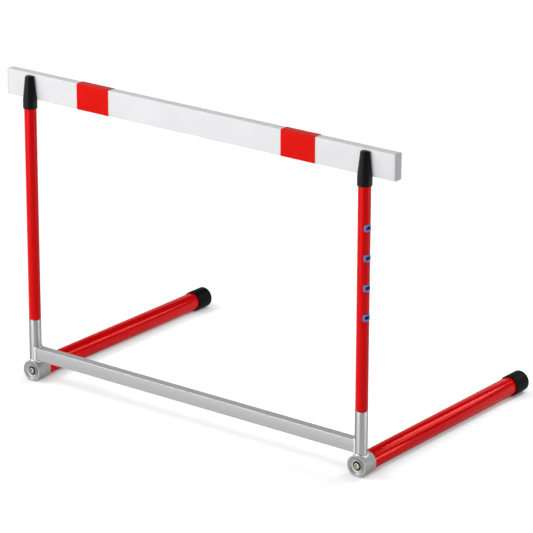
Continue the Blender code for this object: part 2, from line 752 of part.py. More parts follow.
def add_bar(carriage, looks):
    """White hollow bar with its end plugs, its two red bands and the blocks inside it."""
    outer = rounded_rectangle(BAR_THICKNESS, BAR_HEIGHT, BAR_EDGE_RADIUS)
    hollow = (BAR_THICKNESS - 2 * BAR_WALL, BAR_HEIGHT - 2 * BAR_WALL)
    inner = rounded_rectangle(*hollow, BAR_EDGE_RADIUS / 2)
    middle_y = BAR_FRONT + BAR_THICKNESS / 2
    middle_z = BAR_BOTTOM + BAR_HEIGHT / 2
    bar = piece(
        "bar", hollow_extruded(outer, inner, BAR_TUBE_LENGTH), looks["white"], carriage, (0, middle_y, middle_z)
    )
    for _, x, z in bar_bolt_places():
        shape_with(bar, bar_bolt_hole(BAR_THICKNESS + CUTTER_MARGIN), location=(x, BAR_FRONT, z))

    inset = BAR_WALL + SEAT_GAP
    block_size = (BAR_THICKNESS - 2 * inset, BAR_HEIGHT - 2 * inset)
    for label, side in SIDES.items():
        plate = extruded(outer, BAR_PLUG_PLATE)
        plug = piece("bar_plug_" + label, plate, looks["white"], carriage)
        plug.location = (side * (BAR_LENGTH - BAR_PLUG_PLATE) / 2, middle_y, middle_z)
        tongue = BAR_PLUG_PLATE / 2 + BAR_PLUG_DEPTH
        tongue_x = side * (BAR_LENGTH / 2 - BAR_PLUG_PLATE / 2 - tongue / 2)
        outline = rounded_rectangle(*block_size, BAR_EDGE_RADIUS / 2)
        shape_with(plug, extruded(outline, tongue), "UNION", location=(tongue_x, middle_y, middle_z))

        seat = rounded_rectangle(
            BAR_THICKNESS + 2 * SEAT_GAP, BAR_HEIGHT + 2 * SEAT_GAP, BAR_EDGE_RADIUS + SEAT_GAP
        )
        wrap = SEAT_GAP + BAND_THICKNESS
        face = rounded_rectangle(BAR_THICKNESS + 2 * wrap, BAR_HEIGHT + 2 * wrap, BAR_EDGE_RADIUS + wrap)
        band = hollow_extruded(face, seat, BAND_WIDTH)
        place = (side * BAND_OFFSET, middle_y, middle_z)
        piece("bar_band_" + label, band, looks["band_red"], carriage, place)

        filler = extruded(rounded_rectangle(*block_size, BAR_EDGE_RADIUS / 2), SPACER_WIDTH)
        spacer = piece("bar_spacer_" + label, filler, looks["nylon"], carriage)
        spacer.location = (side * HALF_SPACING, middle_y, middle_z)
        for lift in (BAR_BOLT_LOW, BAR_BOLT_HIGH):
            hole = bar_bolt_hole(BAR_THICKNESS)
            shape_with(spacer, hole, location=(side * HALF_SPACING, BAR_FRONT, BAR_BOTTOM + lift))


def add_bar_bolts(carriage, looks):
    """Domed socket screws from behind the bar into the holders."""
    seat = BAR_FRONT + BAR_THICKNESS + SEAT_GAP
    tip = HOLDER_BACK - BAR_BOLT_GRIP
    head = BAR_BOLT_HEAD_HEIGHT
    profile = [(0, tip), (BAR_BOLT_RADIUS, tip), (BAR_BOLT_RADIUS, seat), (BAR_BOLT_HEAD_RADIUS, seat)]
    for step in range(CORNER_STEPS + 1):
        angle = (0.15 + 0.6 * step / CORNER_STEPS) * QUARTER_TURN
        profile.append((BAR_BOLT_HEAD_RADIUS * math.cos(angle), seat + head * math.sin(angle)))
    crown = profile[-1][1]
    profile.append((0, crown))
    for name, x, z in bar_bolt_places():
        shape = laid(turned(profile, SMALL_FACETS), "Y")
        bolt = piece("bar_bolt_" + name, shape, looks["zinc"], carriage, (x, 0, z))
        socket = hex_prism(BAR_BOLT_SOCKET_FLATS, crown - BAR_BOLT_SOCKET_DEPTH, crown + CUTTER_MARGIN)
        shape_with(bolt, laid(socket, "Y"), location=(x, 0, z))


def main():
    clear_scene()
    looks = {
        "red": finish("red_powder_coat", (0.60, 0.004, 0.008), 0.22),
        "band_red": finish("red_tape", (0.78, 0.012, 0.006), 0.35),
        "white": finish("white_bar_plastic", (0.80, 0.80, 0.81), 0.40),
        "black": finish("black_moulded_plastic", (0.018, 0.018, 0.019), 0.42),
        "rubber": finish("black_rubber", (0.022, 0.024, 0.024), 0.75),
        "blue": finish("blue_plastic", (0.020, 0.225, 0.560), 0.35),
        "nylon": finish("natural_nylon", (0.70, 0.69, 0.64), 0.50),
        "aluminium": finish("satin_aluminium", (0.58, 0.58, 0.59), 0.38, 1.0),
        "cast_aluminium": finish("machined_aluminium", (0.60, 0.60, 0.61), 0.45, 1.0),
        "weld": finish("weld_metal", (0.72, 0.72, 0.73), 0.30, 1.0),
        "zinc": finish("yellow_zinc", (0.66, 0.58, 0.40), 0.30, 1.0),
        "steel": finish("bright_steel", (0.50, 0.50, 0.51), 0.35, 1.0),
    }
    base = empty("base_frame")
    carriage = empty("bar_carriage", (0, UPRIGHT_Y, 0))
    for label, side in SIDES.items():
        frame = empty("base_side_" + label, (side * HALF_SPACING, UPRIGHT_Y, 0), base)
        add_hub(label, frame, looks)
        add_hub_face(label, frame, looks)
        add_tie_bolt(label, frame, looks)
        add_foot(label, frame, looks)
        add_socket(label, frame, looks)
        add_spigot(label, frame, looks)
        add_upright(label, side, frame, looks)
        add_welds(label, side, frame, looks)

        mast = empty("mast_" + label, (side * HALF_SPACING, 0, 0), carriage)
        slide = empty("button_slide_" + label, (0, 0, LOWEST_RING_HEIGHT), mast)
        add_mast(label, side, mast, looks)
        add_button(label, side, slide, mast, looks)
        add_holder(label, mast, looks)
    add_crossbar(base, looks)
    add_bar(carriage, looks)
    add_bar_bolts(carriage, looks)


main()
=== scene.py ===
"""Looks of the training hurdle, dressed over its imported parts.

Metres, +Z up, the bar along X, the feet reaching back along +Y. Every size that
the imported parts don't give is a field of the class that uses it.
"""

from __future__ import annotations

import logging
import math
from contextlib import contextmanager
from dataclasses import dataclass, field
from enum import Enum
from typing import Any, Callable, Iterator, Sequence

import bmesh
import bpy
from mathutils import Matrix, Vector

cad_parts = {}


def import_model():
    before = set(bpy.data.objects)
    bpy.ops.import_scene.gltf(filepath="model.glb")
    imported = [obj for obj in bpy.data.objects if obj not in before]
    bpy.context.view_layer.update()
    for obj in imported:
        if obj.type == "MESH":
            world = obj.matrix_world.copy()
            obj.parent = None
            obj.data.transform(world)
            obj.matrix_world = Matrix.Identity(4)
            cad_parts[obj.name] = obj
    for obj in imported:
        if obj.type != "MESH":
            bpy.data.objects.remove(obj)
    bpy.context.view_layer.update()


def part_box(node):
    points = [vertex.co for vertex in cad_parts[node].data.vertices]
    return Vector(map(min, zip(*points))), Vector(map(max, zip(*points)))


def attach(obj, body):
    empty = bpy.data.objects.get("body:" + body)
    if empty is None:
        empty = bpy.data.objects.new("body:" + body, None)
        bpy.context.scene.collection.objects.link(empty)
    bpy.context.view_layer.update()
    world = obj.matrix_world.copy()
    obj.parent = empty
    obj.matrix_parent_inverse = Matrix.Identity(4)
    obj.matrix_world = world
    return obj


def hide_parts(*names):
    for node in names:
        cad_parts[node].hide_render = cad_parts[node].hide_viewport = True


LOG = logging.getLogger("training_hurdle")

# Corners round a large circle, a small circle and a hexagon
ROUND = 96
SMALL = 48
HEXAGON = 6

# How near places and directions have to be to count as the same
TINY = 2e-5
NEAR = 10 * TINY
MERGE = 1e-6
PARALLEL = 0.999
SQUARE_ON = 0.99

# The gap between two pieces, and how far a cutter stands out of what it cuts
FIT = 0.0003
OVERSHOOT = 0.004
SOCKET_OVERSHOOT = 0.002
PIN_REACH = (-0.018, 0.018)

# The edges under this angle are shaded smooth
SMOOTH_ANGLE = math.radians(32)

# A bevel's profile that gives a quarter circle
QUARTER_CIRCLE = 0.5

# Where most of a noise's values lie
NOISE_LOW = 0.3
NOISE_HIGH = 0.7

# The weld beads, in shares of their radius, in points of their line and as an angle
BEAD_OUT = 0.3
BEAD_RISE = 0.5
BEAD_GAP = 0.5 * FIT
BEAD_PITCH = 3
BEAD_ANGLE = math.radians(50)

# The axes, and the way that the height holes face on the right-hand upright
X, Y, Z = 0, 1, 2
UP = Vector((0, 0, 1))
BACK = Vector((0, 1, 0))
RING_TURN = math.radians(-17.0)
OUTWARD = Vector((math.cos(RING_TURN), math.sin(RING_TURN), 0))

# The red pipes and the stubs under them
UPRIGHT_RADIUS = 0.016
PIPE_WALL = 0.0015
PIPE_EDGE = 0.0004

Pair = tuple[float, float]
Triple = tuple[float, float, float]
Colour = Triple
Steps = Sequence[Pair]
Test = Callable[[Any], bool]


class Pick(Enum):
    """What is picked in edit mode, with the name of its row in an edit mesh."""

    VERTS = ("VERT", "verts")
    EDGES = ("EDGE", "edges")
    FACES = ("FACE", "faces")


class Join(Enum):
    """How a second shape changes a piece."""

    TAKE_AWAY = "DIFFERENCE"
    ADD = "UNION"
    KEEP_SHARED = "INTERSECT"


class Body(Enum):
    """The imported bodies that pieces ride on."""

    BASE = "base"
    UPPER = "upper"
    BUTTON_LEFT = "button_left"
    BUTTON_RIGHT = "button_right"


# Measuring


def half(node: str, axis: int) -> float:
    """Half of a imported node's size along an axis."""
    low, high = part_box(node)
    return (high[axis] - low[axis]) / 2


def middle(node: str, axis: int) -> float:
    """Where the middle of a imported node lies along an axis."""
    low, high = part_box(node)
    return (low[axis] + high[axis]) / 2


def standing_axis(node: str) -> Vector:
    """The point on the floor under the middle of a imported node."""
    return Vector((middle(node, X), middle(node, Y), 0.0))


def frame_node(name: str) -> bpy.types.Object:
    """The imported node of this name."""
    return bpy.data.objects[name]


def runs_along(edge: Any, axis: int) -> bool:
    """Whether an edge is parallel to an axis."""
    run = edge.verts[1].co - edge.verts[0].co
    return abs(run[axis]) > PARALLEL * run.length


def at_level(edge: Any, axis: int, level: float) -> bool:
    """Whether an edge lies in the plane across an axis at this level."""
    return all(abs(corner.co[axis] - level) < TINY for corner in edge.verts)


def is_end(face: Any) -> bool:
    """Whether a face looks along X, to either side."""
    return abs(face.normal.x) > SQUARE_ON


def ring_order(line: bpy.types.Object) -> list[Vector]:
    """The corners of a closed line in their order round it.

    Args:
        line: an object whose mesh is one closed line.

    Returns:
        The corners' places.
    """
    joined: dict[int, list[int]] = {}
    for edge in line.data.edges:
        first, second = edge.vertices
        joined.setdefault(first, []).append(second)
        joined.setdefault(second, []).append(first)
    order = [0]
    while len(order) < len(line.data.vertices):
        last = order[-1]
        order.append(next(index for index in joined[last] if index not in order[-2:]))
    return [line.data.vertices[index].co.copy() for index in order]


# Bench work


def clear_selection() -> None:
    """Leaves edit mode and deselects every object."""
    if bpy.context.mode != "OBJECT":
        bpy.ops.object.mode_set(mode="OBJECT")
    bpy.ops.object.select_all(action="DESELECT")


def pick_up(body: bpy.types.Object) -> None:
    """Selects one object alone and makes it the active one.

    Args:
        body: the object.
    """
    clear_selection()
    bpy.context.view_layer.objects.active = body
    body.select_set(True)


def taken(name: str) -> bpy.types.Object:
    """Names the object that was just added and puts its place in its mesh.

    Args:
        name: the object's name.

    Returns:
        The object.
    """
    body = bpy.context.active_object
    body.name = name
    body.data.name = name
    bpy.ops.object.transform_apply(location=True, rotation=True, scale=True)
    return body


def moved_copy(piece: bpy.types.Object, name: str, move: Vector) -> bpy.types.Object:
    """Copies a piece with its own mesh and moves the copy.

    Args:
        piece: the piece to copy.
        name: the copy's name.
        move: how far the copy goes.

    Returns:
        The copy.
    """
    pick_up(piece)
    bpy.ops.object.duplicate(linked=False)
    bpy.ops.transform.translate(value=tuple(move))
    return taken(name)


def left_copy(piece: bpy.types.Object, name: str, axis: Vector | None) -> bpy.types.Object:
    """Copies a right-hand piece to the left, as its mirror image or turned half round.

    Args:
        piece: the right-hand piece.
        name: the copy's name.
        axis: a point on the right-hand upright's axis to turn it, or None to mirror it.

    Returns:
        The left-hand piece.
    """
    pick_up(piece)
    bpy.ops.object.duplicate(linked=False)
    if axis:
        bpy.ops.transform.resize(value=(-1, -1, 1), center_override=(0, axis.y, 0))
    else:
        bpy.ops.transform.resize(value=(-1, 1, 1), center_override=(0, 0, 0))
    return Workpiece(taken(name)).done()


class Workpiece:
    """One piece on the bench, shaped in edit mode as it is done by hand."""

    def __init__(self, body: bpy.types.Object) -> None:
        """Takes an object whose place is already in its mesh."""
        self.body = body

    @classmethod
    def block(cls, name: str, low: Vector, high: Vector) -> Workpiece:
        """Adds a box between two corners.

        Args:
            name: the object's name.
            low: the lowest corner.
            high: the highest corner.

        Returns:
            The box as a workpiece.
        """
        clear_selection()
        bpy.ops.mesh.primitive_cube_add(size=1, location=(low + high) / 2, scale=high - low)
        return cls(taken(name))

    @contextmanager
    def editing(self) -> Iterator[None]:
        """Keeps this piece alone in edit mode while the block runs."""
        pick_up(self.body)
        bpy.ops.object.mode_set(mode="EDIT")
        yield
        bpy.ops.object.mode_set(mode="OBJECT")

    def select(self, kind: Pick, test: Test) -> None:
        """Selects what passes the test and nothing else, inside edit mode.

        Args:
            kind: vertices, edges or faces.
            test: tells whether one of them is picked.
        """
        bpy.ops.mesh.select_mode(type=kind.value[0])
        bpy.ops.mesh.select_all(action="DESELECT")
        work = bmesh.from_edit_mesh(self.body.data)
        for item in getattr(work, kind.value[1]):
            if test(item):
                item.select_set(True)
        work.select_flush_mode()
        bmesh.update_edit_mesh(self.body.data)

    def bevel(self, test: Test, width: float, segments: int = 3) -> Workpiece:
        """Rounds the edges that pass the test to a quarter circle.

        Args:
            test: picks the edges.
            width: how far back from the edge the rounding starts.
            segments: faces across the rounding.

        Returns:
            This workpiece.
        """
        with self.editing():
            self.select(Pick.EDGES, test)
            bpy.ops.mesh.bevel(
                offset=width,
                segments=segments,
                profile=QUARTER_CIRCLE,
                affect="EDGES",
            )
        return self

    def hollow(self, test: Test, wall: float) -> Workpiece:
        """Opens two end faces into each other, which leaves a wall.

        Args:
            test: picks the two end faces.
            wall: the wall's thickness.

        Returns:
            This workpiece.
        """
        with self.editing():
            self.select(Pick.FACES, test)
            bpy.ops.mesh.inset(thickness=wall, use_individual=True)
            bpy.ops.mesh.bridge_edge_loops()
        return self

    def pull(self, test: Test, inset: float, move: Vector) -> Workpiece:
        """Insets the faces that pass the test and extrudes them.

        Args:
            test: picks the faces.
            inset: how far in the new faces start.
            move: how far and which way they are drawn.

        Returns:
            This workpiece.
        """
        with self.editing():
            self.select(Pick.FACES, test)
            bpy.ops.mesh.inset(thickness=inset)
            bpy.ops.mesh.extrude_region_move(TRANSFORM_OT_translate={"value": tuple(move)})
        return self

    def modify(self, kind: str, **settings: Any) -> Workpiece:
        """Adds a modifier and applies it.

        Args:
            kind: the modifier's type.
            **settings: its properties.

        Returns:
            This workpiece.
        """
        pick_up(self.body)
        modifier = self.body.modifiers.new(kind.lower(), kind)
        for name, value in settings.items():
            setattr(modifier, name, value)
        bpy.ops.object.modifier_apply(modifier=modifier.name)
        return self

    def combine(self, other: Workpiece, how: Join = Join.TAKE_AWAY) -> Workpiece:
        """Changes this piece by a second shape, which is used up.

        Args:
            other: the second shape.
            how: whether it is taken away, added or shared.

        Returns:
            This workpiece.
        """
        self.modify("BOOLEAN", operation=how.value, solver="EXACT", object=other.body)
        bpy.data.objects.remove(other.body, do_unlink=True)
        return self

    def soften(self, width: float, segments: int, angle: float) -> Workpiece:
        """Rounds every edge that is sharper than an angle.

        Args:
            width: how wide the rounding is.
            segments: faces across it.
            angle: the least angle.

        Returns:
            This workpiece.
        """
        return self.modify(
            "BEVEL",
            width=width,
            segments=segments,
            limit_method="ANGLE",
            angle_limit=angle,
        )

    def drop_on(self, target: Workpiece, axis: str) -> Workpiece:
        """Projects this piece on to a target along one axis, and uses the target up.

        Args:
            target: what it lands on.
            axis: x, y or z.

        Returns:
            This workpiece.
        """
        self.modify(
            "SHRINKWRAP",
            wrap_method="PROJECT",
            target=target.body,
            use_negative_direction=True,
            **{"use_project_" + axis: True},
        )
        bpy.data.objects.remove(target.body, do_unlink=True)
        return self

    def done(self, angle: float = SMOOTH_ANGLE) -> bpy.types.Object:
        """Closes the seams, points the faces outwards and shades the piece.

        Args:
            angle: edges flatter than this are shaded smooth.

        Returns:
            The finished object.
        """
        with self.editing():
            bpy.ops.mesh.select_all(action="SELECT")
            bpy.ops.mesh.remove_doubles(threshold=MERGE)
            bpy.ops.mesh.normals_make_consistent(inside=False)
            bpy.ops.mesh.select_all(action="DESELECT")
        bpy.ops.object.shade_smooth_by_angle(angle=angle)
        return self.body


class Turning(Workpiece):
    """A round workpiece, whose axis starts at a point and runs one way."""

    def __init__(
        self,
        name: str,
        start: Vector,
        way: Vector,
        radius: float,
        reach: Sequence[float],
        vertices: int = ROUND,
    ) -> None:
        """Adds a cylinder on the axis.

        Args:
            name: the object's name.
            start: the axis's zero point.
            way: the axis's direction.
            radius: the cylinder's radius.
            reach: where it begins and ends along the axis.
            vertices: corners round the circle.
        """
        self.start = start
        self.way = way.normalized()
        self.radius = radius
        self.reach = tuple(reach)
        clear_selection()
        bpy.ops.mesh.primitive_cylinder_add(
            vertices=vertices,
            radius=radius,
            depth=reach[1] - reach[0],
            location=self.at((reach[0] + reach[1]) / 2),
            rotation=self.way.to_track_quat("Z", "Y").to_euler(),
        )
        super().__init__(taken(name))

    def at(self, along: float) -> Vector:
        """The point on the axis this far along."""
        return self.start + self.way * along

    def along(self, point: Vector) -> float:
        """How far along the axis a point lies."""
        return (point - self.start).dot(self.way)

    def away(self, point: Vector) -> float:
        """How far from the axis a point lies."""
        return (point - self.at(self.along(point))).length

    def cap(self, *places: float) -> Test:
        """A test for flat end faces.

        Args:
            *places: where they may lie along the axis.

        Returns:
            The test.
        """
        return lambda face: (
            abs(face.normal.dot(self.way)) > SQUARE_ON
            and len(face.verts) >= HEXAGON
            and any(abs(self.along(face.calc_center_median()) - place) < TINY for place in places)
        )

    def rim(self, place: float, radius: float) -> Test:
        """A test for the edges of a circle.

        Args:
            place: where the circle is along the axis.
            radius: its radius.

        Returns:
            The test.
        """
        return lambda edge: all(
            abs(self.along(corner.co) - place) < TINY and abs(self.away(corner.co) - radius) < NEAR
            for corner in edge.verts
        )

    def carry(self, place: float, radius: float, steps: Steps) -> Turning:
        """Carries an end face through a row of steps.

        Args:
            place: where the face is along the axis.
            radius: its radius.
            steps: the radius and place that each step ends at.

        Returns:
            This workpiece.
        """
        with self.editing():
            self.select(Pick.FACES, self.cap(place))
            for wide, along in steps:
                move = self.way * (along - place)
                bpy.ops.mesh.extrude_region_move(TRANSFORM_OT_translate={"value": tuple(move)})
                ratios = (wide / radius,) * 3
                bpy.ops.transform.resize(value=ratios, center_override=tuple(self.at(along)))
                place, radius = along, wide
        return self

    def bore(self, radius: float) -> Turning:
        """Opens a bore of this radius from end to end."""
        self.hollow(self.cap(*self.reach), self.radius - radius)
        return self

    def join_faces(self, places: Sequence[float], radius: float) -> Turning:
        """Bridges two end faces of one radius into a bore.

        Args:
            places: where the two faces are along the axis.
            radius: the radius of both.

        Returns:
            This workpiece.
        """
        cap = self.cap(*places)

        def is_small_end(face: Any) -> bool:
            """Whether a face is one of the two."""
            return cap(face) and self.away(face.verts[0].co) < radius + NEAR

        with self.editing():
            self.select(Pick.FACES, is_small_end)
            bpy.ops.mesh.bridge_edge_loops()
        return self

    def round_rim(self, place: float, radius: float, width: float, segments: int = 3) -> Turning:
        """Rounds the circle of edges at this place, as wide and with as many faces as given."""
        self.bevel(self.rim(place, radius), width, segments)
        return self


class Bead(Workpiece):
    """A weld bead laid along a closed line of edges."""

    def __init__(self, line: bpy.types.Object, radius: float) -> None:
        """Turns the line into a round bead.

        Args:
            line: an object whose mesh is one closed line.
            radius: the bead's radius.
        """
        self.path = ring_order(line)
        pick_up(line)
        bpy.ops.object.convert(target="CURVE")
        curve = bpy.context.active_object
        curve.data.dimensions = "3D"
        curve.data.bevel_depth = radius
        curve.data.bevel_resolution = 2
        bpy.ops.object.convert(target="MESH")
        super().__init__(bpy.context.active_object)

    def ripple(self, height: float) -> Bead:
        """Swells the bead at every few points of its line, as a welder's pauses do.

        Args:
            height: how far the bead swells there.

        Returns:
            This workpiece.
        """

        def swells(corner: Any) -> bool:
            """Whether a corner belongs to a swelling."""
            distances = [(corner.co - point).length for point in self.path]
            return distances.index(min(distances)) % BEAD_PITCH == 0

        with self.editing():
            self.select(Pick.VERTS, swells)
            bpy.ops.transform.shrink_fatten(value=height)
        return self

    def lifted(self, move: Vector) -> Bead:
        """Moves the whole bead.

        Args:
            move: how far and which way.

        Returns:
            This workpiece.
        """
        with self.editing():
            bpy.ops.mesh.select_all(action="SELECT")
            bpy.ops.transform.translate(value=tuple(move))
        return self


def hexagon(start: Vector, flats: float, reach: Sequence[float]) -> Turning:
    """A six-sided cutter for a screw's socket, from front to back."""
    corner = flats / 2 / math.cos(math.pi / HEXAGON)
    return Turning("hexagon", start, BACK, corner, reach, HEXAGON)


def pin_drill(axis: Vector, radius: float) -> Turning:
    """A drill in the place of the right-hand holder's pin."""
    level = axis + UP * middle("holder_pin_right", Z)
    return Turning("pin_drill", level, BACK, radius, PIN_REACH, SMALL)


# Finishes


class Nodes:
    """A tree of shader nodes, added and joined one by one."""

    def __init__(self, tree: bpy.types.NodeTree) -> None:
        """Takes the tree to work in."""
        self.tree = tree

    def add(self, kind: str, **settings: Any) -> bpy.types.Node:
        """Adds a node.

        Args:
            kind: the node's type.
            **settings: its properties.

        Returns:
            The node.
        """
        node = self.tree.nodes.new(kind)
        for name, value in settings.items():
            setattr(node, name, value)
        return node

    def feed(self, socket: bpy.types.NodeSocket, value: Any) -> None:
        """Joins a socket to another one, or sets it to a plain value.

        Args:
            socket: the socket that takes it.
            value: a node's output, a number or a colour.
        """
        if isinstance(value, bpy.types.NodeSocket):
            self.tree.links.new(value, socket)
        else:
            socket.default_value = value

    def parts(self, place: bpy.types.NodeSocket) -> dict[str, bpy.types.NodeSocket]:
        """Splits a place into its numbers.

        Args:
            place: the output that gives the place.

        Returns:
            The three numbers by the names X, Y and Z.
        """
        node = self.add("ShaderNodeSeparateXYZ")
        self.feed(node.inputs[0], place)
        return {name: node.outputs[name] for name in "XYZ"}

    def maths(self, operation: str, *values: Any) -> bpy.types.NodeSocket:
        """Adds one Math node.

        Args:
            operation: what it does.
            *values: what goes into it, in order.

        Returns:
            The result.
        """
        node = self.add("ShaderNodeMath", operation=operation)
        for socket, value in zip(node.inputs, values):
            self.feed(socket, value)
        return node.outputs[0]

    def distance(self, across: Any, along: Any) -> bpy.types.NodeSocket:
        """The length of two numbers taken as the sides of a right angle."""
        squares = [self.maths("MULTIPLY", side, side) for side in (across, along)]
        return self.maths("SQRT", self.maths("ADD", *squares))

    def spread(
        self,
        value: Any,
        low: Any,
        high: Any,
        start: float = NOISE_LOW,
        end: float = NOISE_HIGH,
    ) -> bpy.types.NodeSocket:
        """Maps a pattern's middle range on to a range of values.

        Args:
            value: the pattern.
            low: the value at the start.
            high: the value at the end.
            start: the pattern's value that gives the lowest result.
            end: the pattern's value that gives the highest result.

        Returns:
            The mapped values.
        """
        node = self.add("ShaderNodeMapRange")
        self.feed(node.inputs["Value"], value)
        for name, number in (("From Min", start), ("From Max", end), ("To Min", low), ("To Max", high)):
            self.feed(node.inputs[name], number)
        return node.outputs["Result"]

    def looked_at(self) -> bpy.types.NodeSocket:
        """Tells rays that show a surface, straight, mirrored or through glass, from those that light it.

        Returns:
            1 for the first kind and 0 for the second.
        """
        path = self.add("ShaderNodeLightPath")
        switch = path.outputs["Is Camera Ray"]
        for name in ("Is Glossy Ray", "Is Transmission Ray"):
            switch = self.maths("MAXIMUM", switch, path.outputs[name])
        return switch


class Recipe(Nodes):
    """The shader nodes of one finish."""

    def __init__(self, name: str) -> None:
        """Starts a material with a Principled shader.

        Args:
            name: the material's name.
        """
        self.material = bpy.data.materials.new(name)
        self.material.use_nodes = True
        super().__init__(self.material.node_tree)
        self.shader = self.tree.nodes["Principled BSDF"]
        self.place = self.add("ShaderNodeTexCoord").outputs["Object"]

    def fix(self, **values: Any) -> Recipe:
        """Sets the shader's sockets that are the same all over.

        Args:
            **values: the values, by the sockets' names with underscores.

        Returns:
            This recipe.
        """
        for name, value in values.items():
            self.shader.inputs[name.replace("_", " ")].default_value = value
        return self

    def grain(self, scale: float, detail: float, stretch: Triple | None = None) -> bpy.types.NodeSocket:
        """A noise pattern.

        Args:
            scale: how many grains fit in a metre, about.
            detail: how many finer layers it has.
            stretch: a scale for each direction, or None for an even grain.

        Returns:
            The noise from 0 to 1.
        """
        where = self.place
        if stretch is not None:
            mapping = self.add("ShaderNodeMapping")
            self.feed(mapping.inputs["Vector"], where)
            mapping.inputs["Scale"].default_value = stretch
            where = mapping.outputs["Vector"]
        node = self.add("ShaderNodeTexNoise")
        self.feed(node.inputs["Vector"], where)
        node.inputs["Scale"].default_value = scale
        node.inputs["Detail"].default_value = detail
        return node.outputs[0]

    def blend(self, share: Any, first: Colour, second: Colour) -> bpy.types.NodeSocket:
        """A colour between two colours by a pattern.

        Args:
            share: the pattern.
            first: the colour at 0.
            second: the colour at 1.

        Returns:
            The mixed colour.
        """
        node = self.add("ShaderNodeMix", data_type="RGBA")
        colours = [socket for socket in node.inputs if socket.type == "RGBA"]
        self.feed(node.inputs[0], share)
        for socket, value in zip(colours, (first, second)):
            self.feed(socket, (*value, 1.0))
        return next(socket for socket in node.outputs if socket.type == "RGBA")

    def relief(
        self,
        height: Any,
        depth: float,
        strength: float,
        under: Any = None,
    ) -> bpy.types.NodeSocket:
        """A bumped normal.

        Args:
            height: the pattern of heights.
            depth: how deep it is in metres.
            strength: how much of it shows.
            under: a relief that lies under this one.

        Returns:
            The normal.
        """
        node = self.add("ShaderNodeBump")
        self.feed(node.inputs["Height"], height)
        node.inputs["Distance"].default_value = depth
        node.inputs["Strength"].default_value = strength
        if under is not None:
            self.feed(node.inputs["Normal"], under)
        return node.outputs["Normal"]

    def dress(self, colour: Any, roughness: Any, normal: Any) -> bpy.types.Material:
        """Joins the patterns to the shader.

        Args:
            colour: the base colour.
            roughness: the roughness.
            normal: the relief.

        Returns:
            The finished material.
        """
        self.feed(self.shader.inputs["Base Color"], colour)
        self.feed(self.shader.inputs["Roughness"], roughness)
        self.feed(self.shader.inputs["Normal"], normal)
        return self.material


@dataclass(frozen=True)
class Finish:
    """A finish of two close colours in soft clouds, with one fine tooth all over.

    Each pattern is a noise, given by its scale and its detail, and the cloud range is
    where the clouds turn from the first colour to the second. The roughness follows
    the patches where there are any, and the tooth where there are none. The sockets
    are the shader's values that are the same all over.
    """

    name: str
    low: Colour
    high: Colour
    roughness: Pair
    clouds: Pair
    tooth: Pair
    depth: float
    strength: float = 0.5
    cloud_range: Pair = (NOISE_LOW, NOISE_HIGH)
    patches: Pair | None = None
    stretch: Triple | None = None
    sockets: tuple[tuple[str, Any], ...] = ()

    def fixed(self) -> dict[str, Any]:
        """The shader's values that are the same all over, by name."""
        return dict(self.sockets)

    def clouded(self, recipe: Recipe) -> bpy.types.NodeSocket:
        """The two colours in soft clouds."""
        share = recipe.spread(recipe.grain(*self.clouds), 0.0, 1.0, *self.cloud_range)
        return recipe.blend(share, self.low, self.high)

    def mixed(self) -> bpy.types.Material:
        """Mixes the finish.

        Returns:
            The finished material.
        """
        recipe = Recipe(self.name).fix(**self.fixed())
        colour = self.clouded(recipe)
        tooth = recipe.grain(*self.tooth, self.stretch)
        pattern = recipe.grain(*self.patches) if self.patches else tooth
        rough = recipe.spread(pattern, *self.roughness)
        return recipe.dress(colour, rough, recipe.relief(tooth, self.depth, self.strength))


@dataclass(frozen=True)
class RedCoat(Finish):
    """The feet's glossy red powder coat with a fine orange peel, painted lighter than the uprights' coat
    of the same red as painted light for the feet.
    """

    name: str = "red_foot_coat"
    low: Colour = (0.760, 0.0015, 0.0025)
    high: Colour = (0.810, 0.0025, 0.0035)
    roughness: Pair = (0.20, 0.22)
    clouds: Pair = (18.0, 4.0)
    tooth: Pair = (700.0, 1.0)
    depth: float = 0.00002
    patches: Pair | None = (60.0, 3.0)
    lacquer: float = 0.11
    gloss: float = 0.0
    clear: float = 0.20
    clear_roughness: float = 0.17
    drawn: float = 0.0
    drawn_turn: float = 0.25

    def fixed(self) -> dict[str, Any]:
        """The lacquer, the clear coat and the way that highlights are drawn out.

        Returns:
            The shader's values by name.
        """
        return {
            "Metallic": self.lacquer,
            "Specular_IOR_Level": self.gloss,
            "Coat_Weight": self.clear,
            "Coat_Roughness": self.clear_roughness,
            "Anisotropic": self.drawn,
            "Anisotropic_Rotation": self.drawn_turn,
        }


@dataclass(frozen=True)
class UprightCoat(RedCoat):
    """The uprights' red coat, whose highlights are drawn along the pipe."""

    name: str = "red_upright_coat"
    # A little darker than the feet's coat of the same red, which is painted lighter
    low: Colour = (0.690, 0.0015, 0.0025)
    high: Colour = (0.740, 0.0025, 0.0035)
    roughness: Pair = (0.30, 0.34)
    lacquer: float = 0.07
    gloss: float = 0.075
    clear: float = 0.0
    drawn: float = 0.85


@dataclass(frozen=True)
class RedTape(Finish):
    """Smooth red tape with the faint tooth of vinyl film."""

    name: str = "red_vinyl_tape"
    low: Colour = (0.730, 0.005, 0.002)
    high: Colour = (0.790, 0.007, 0.003)
    roughness: Pair = (0.36, 0.44)
    clouds: Pair = (35.0, 4.0)
    tooth: Pair = (1400.0, 1.0)
    depth: float = 0.00003
    patches: Pair | None = (90.0, 3.0)
    sockets: tuple[tuple[str, Any], ...] = (("Specular_IOR_Level", 0.05),)


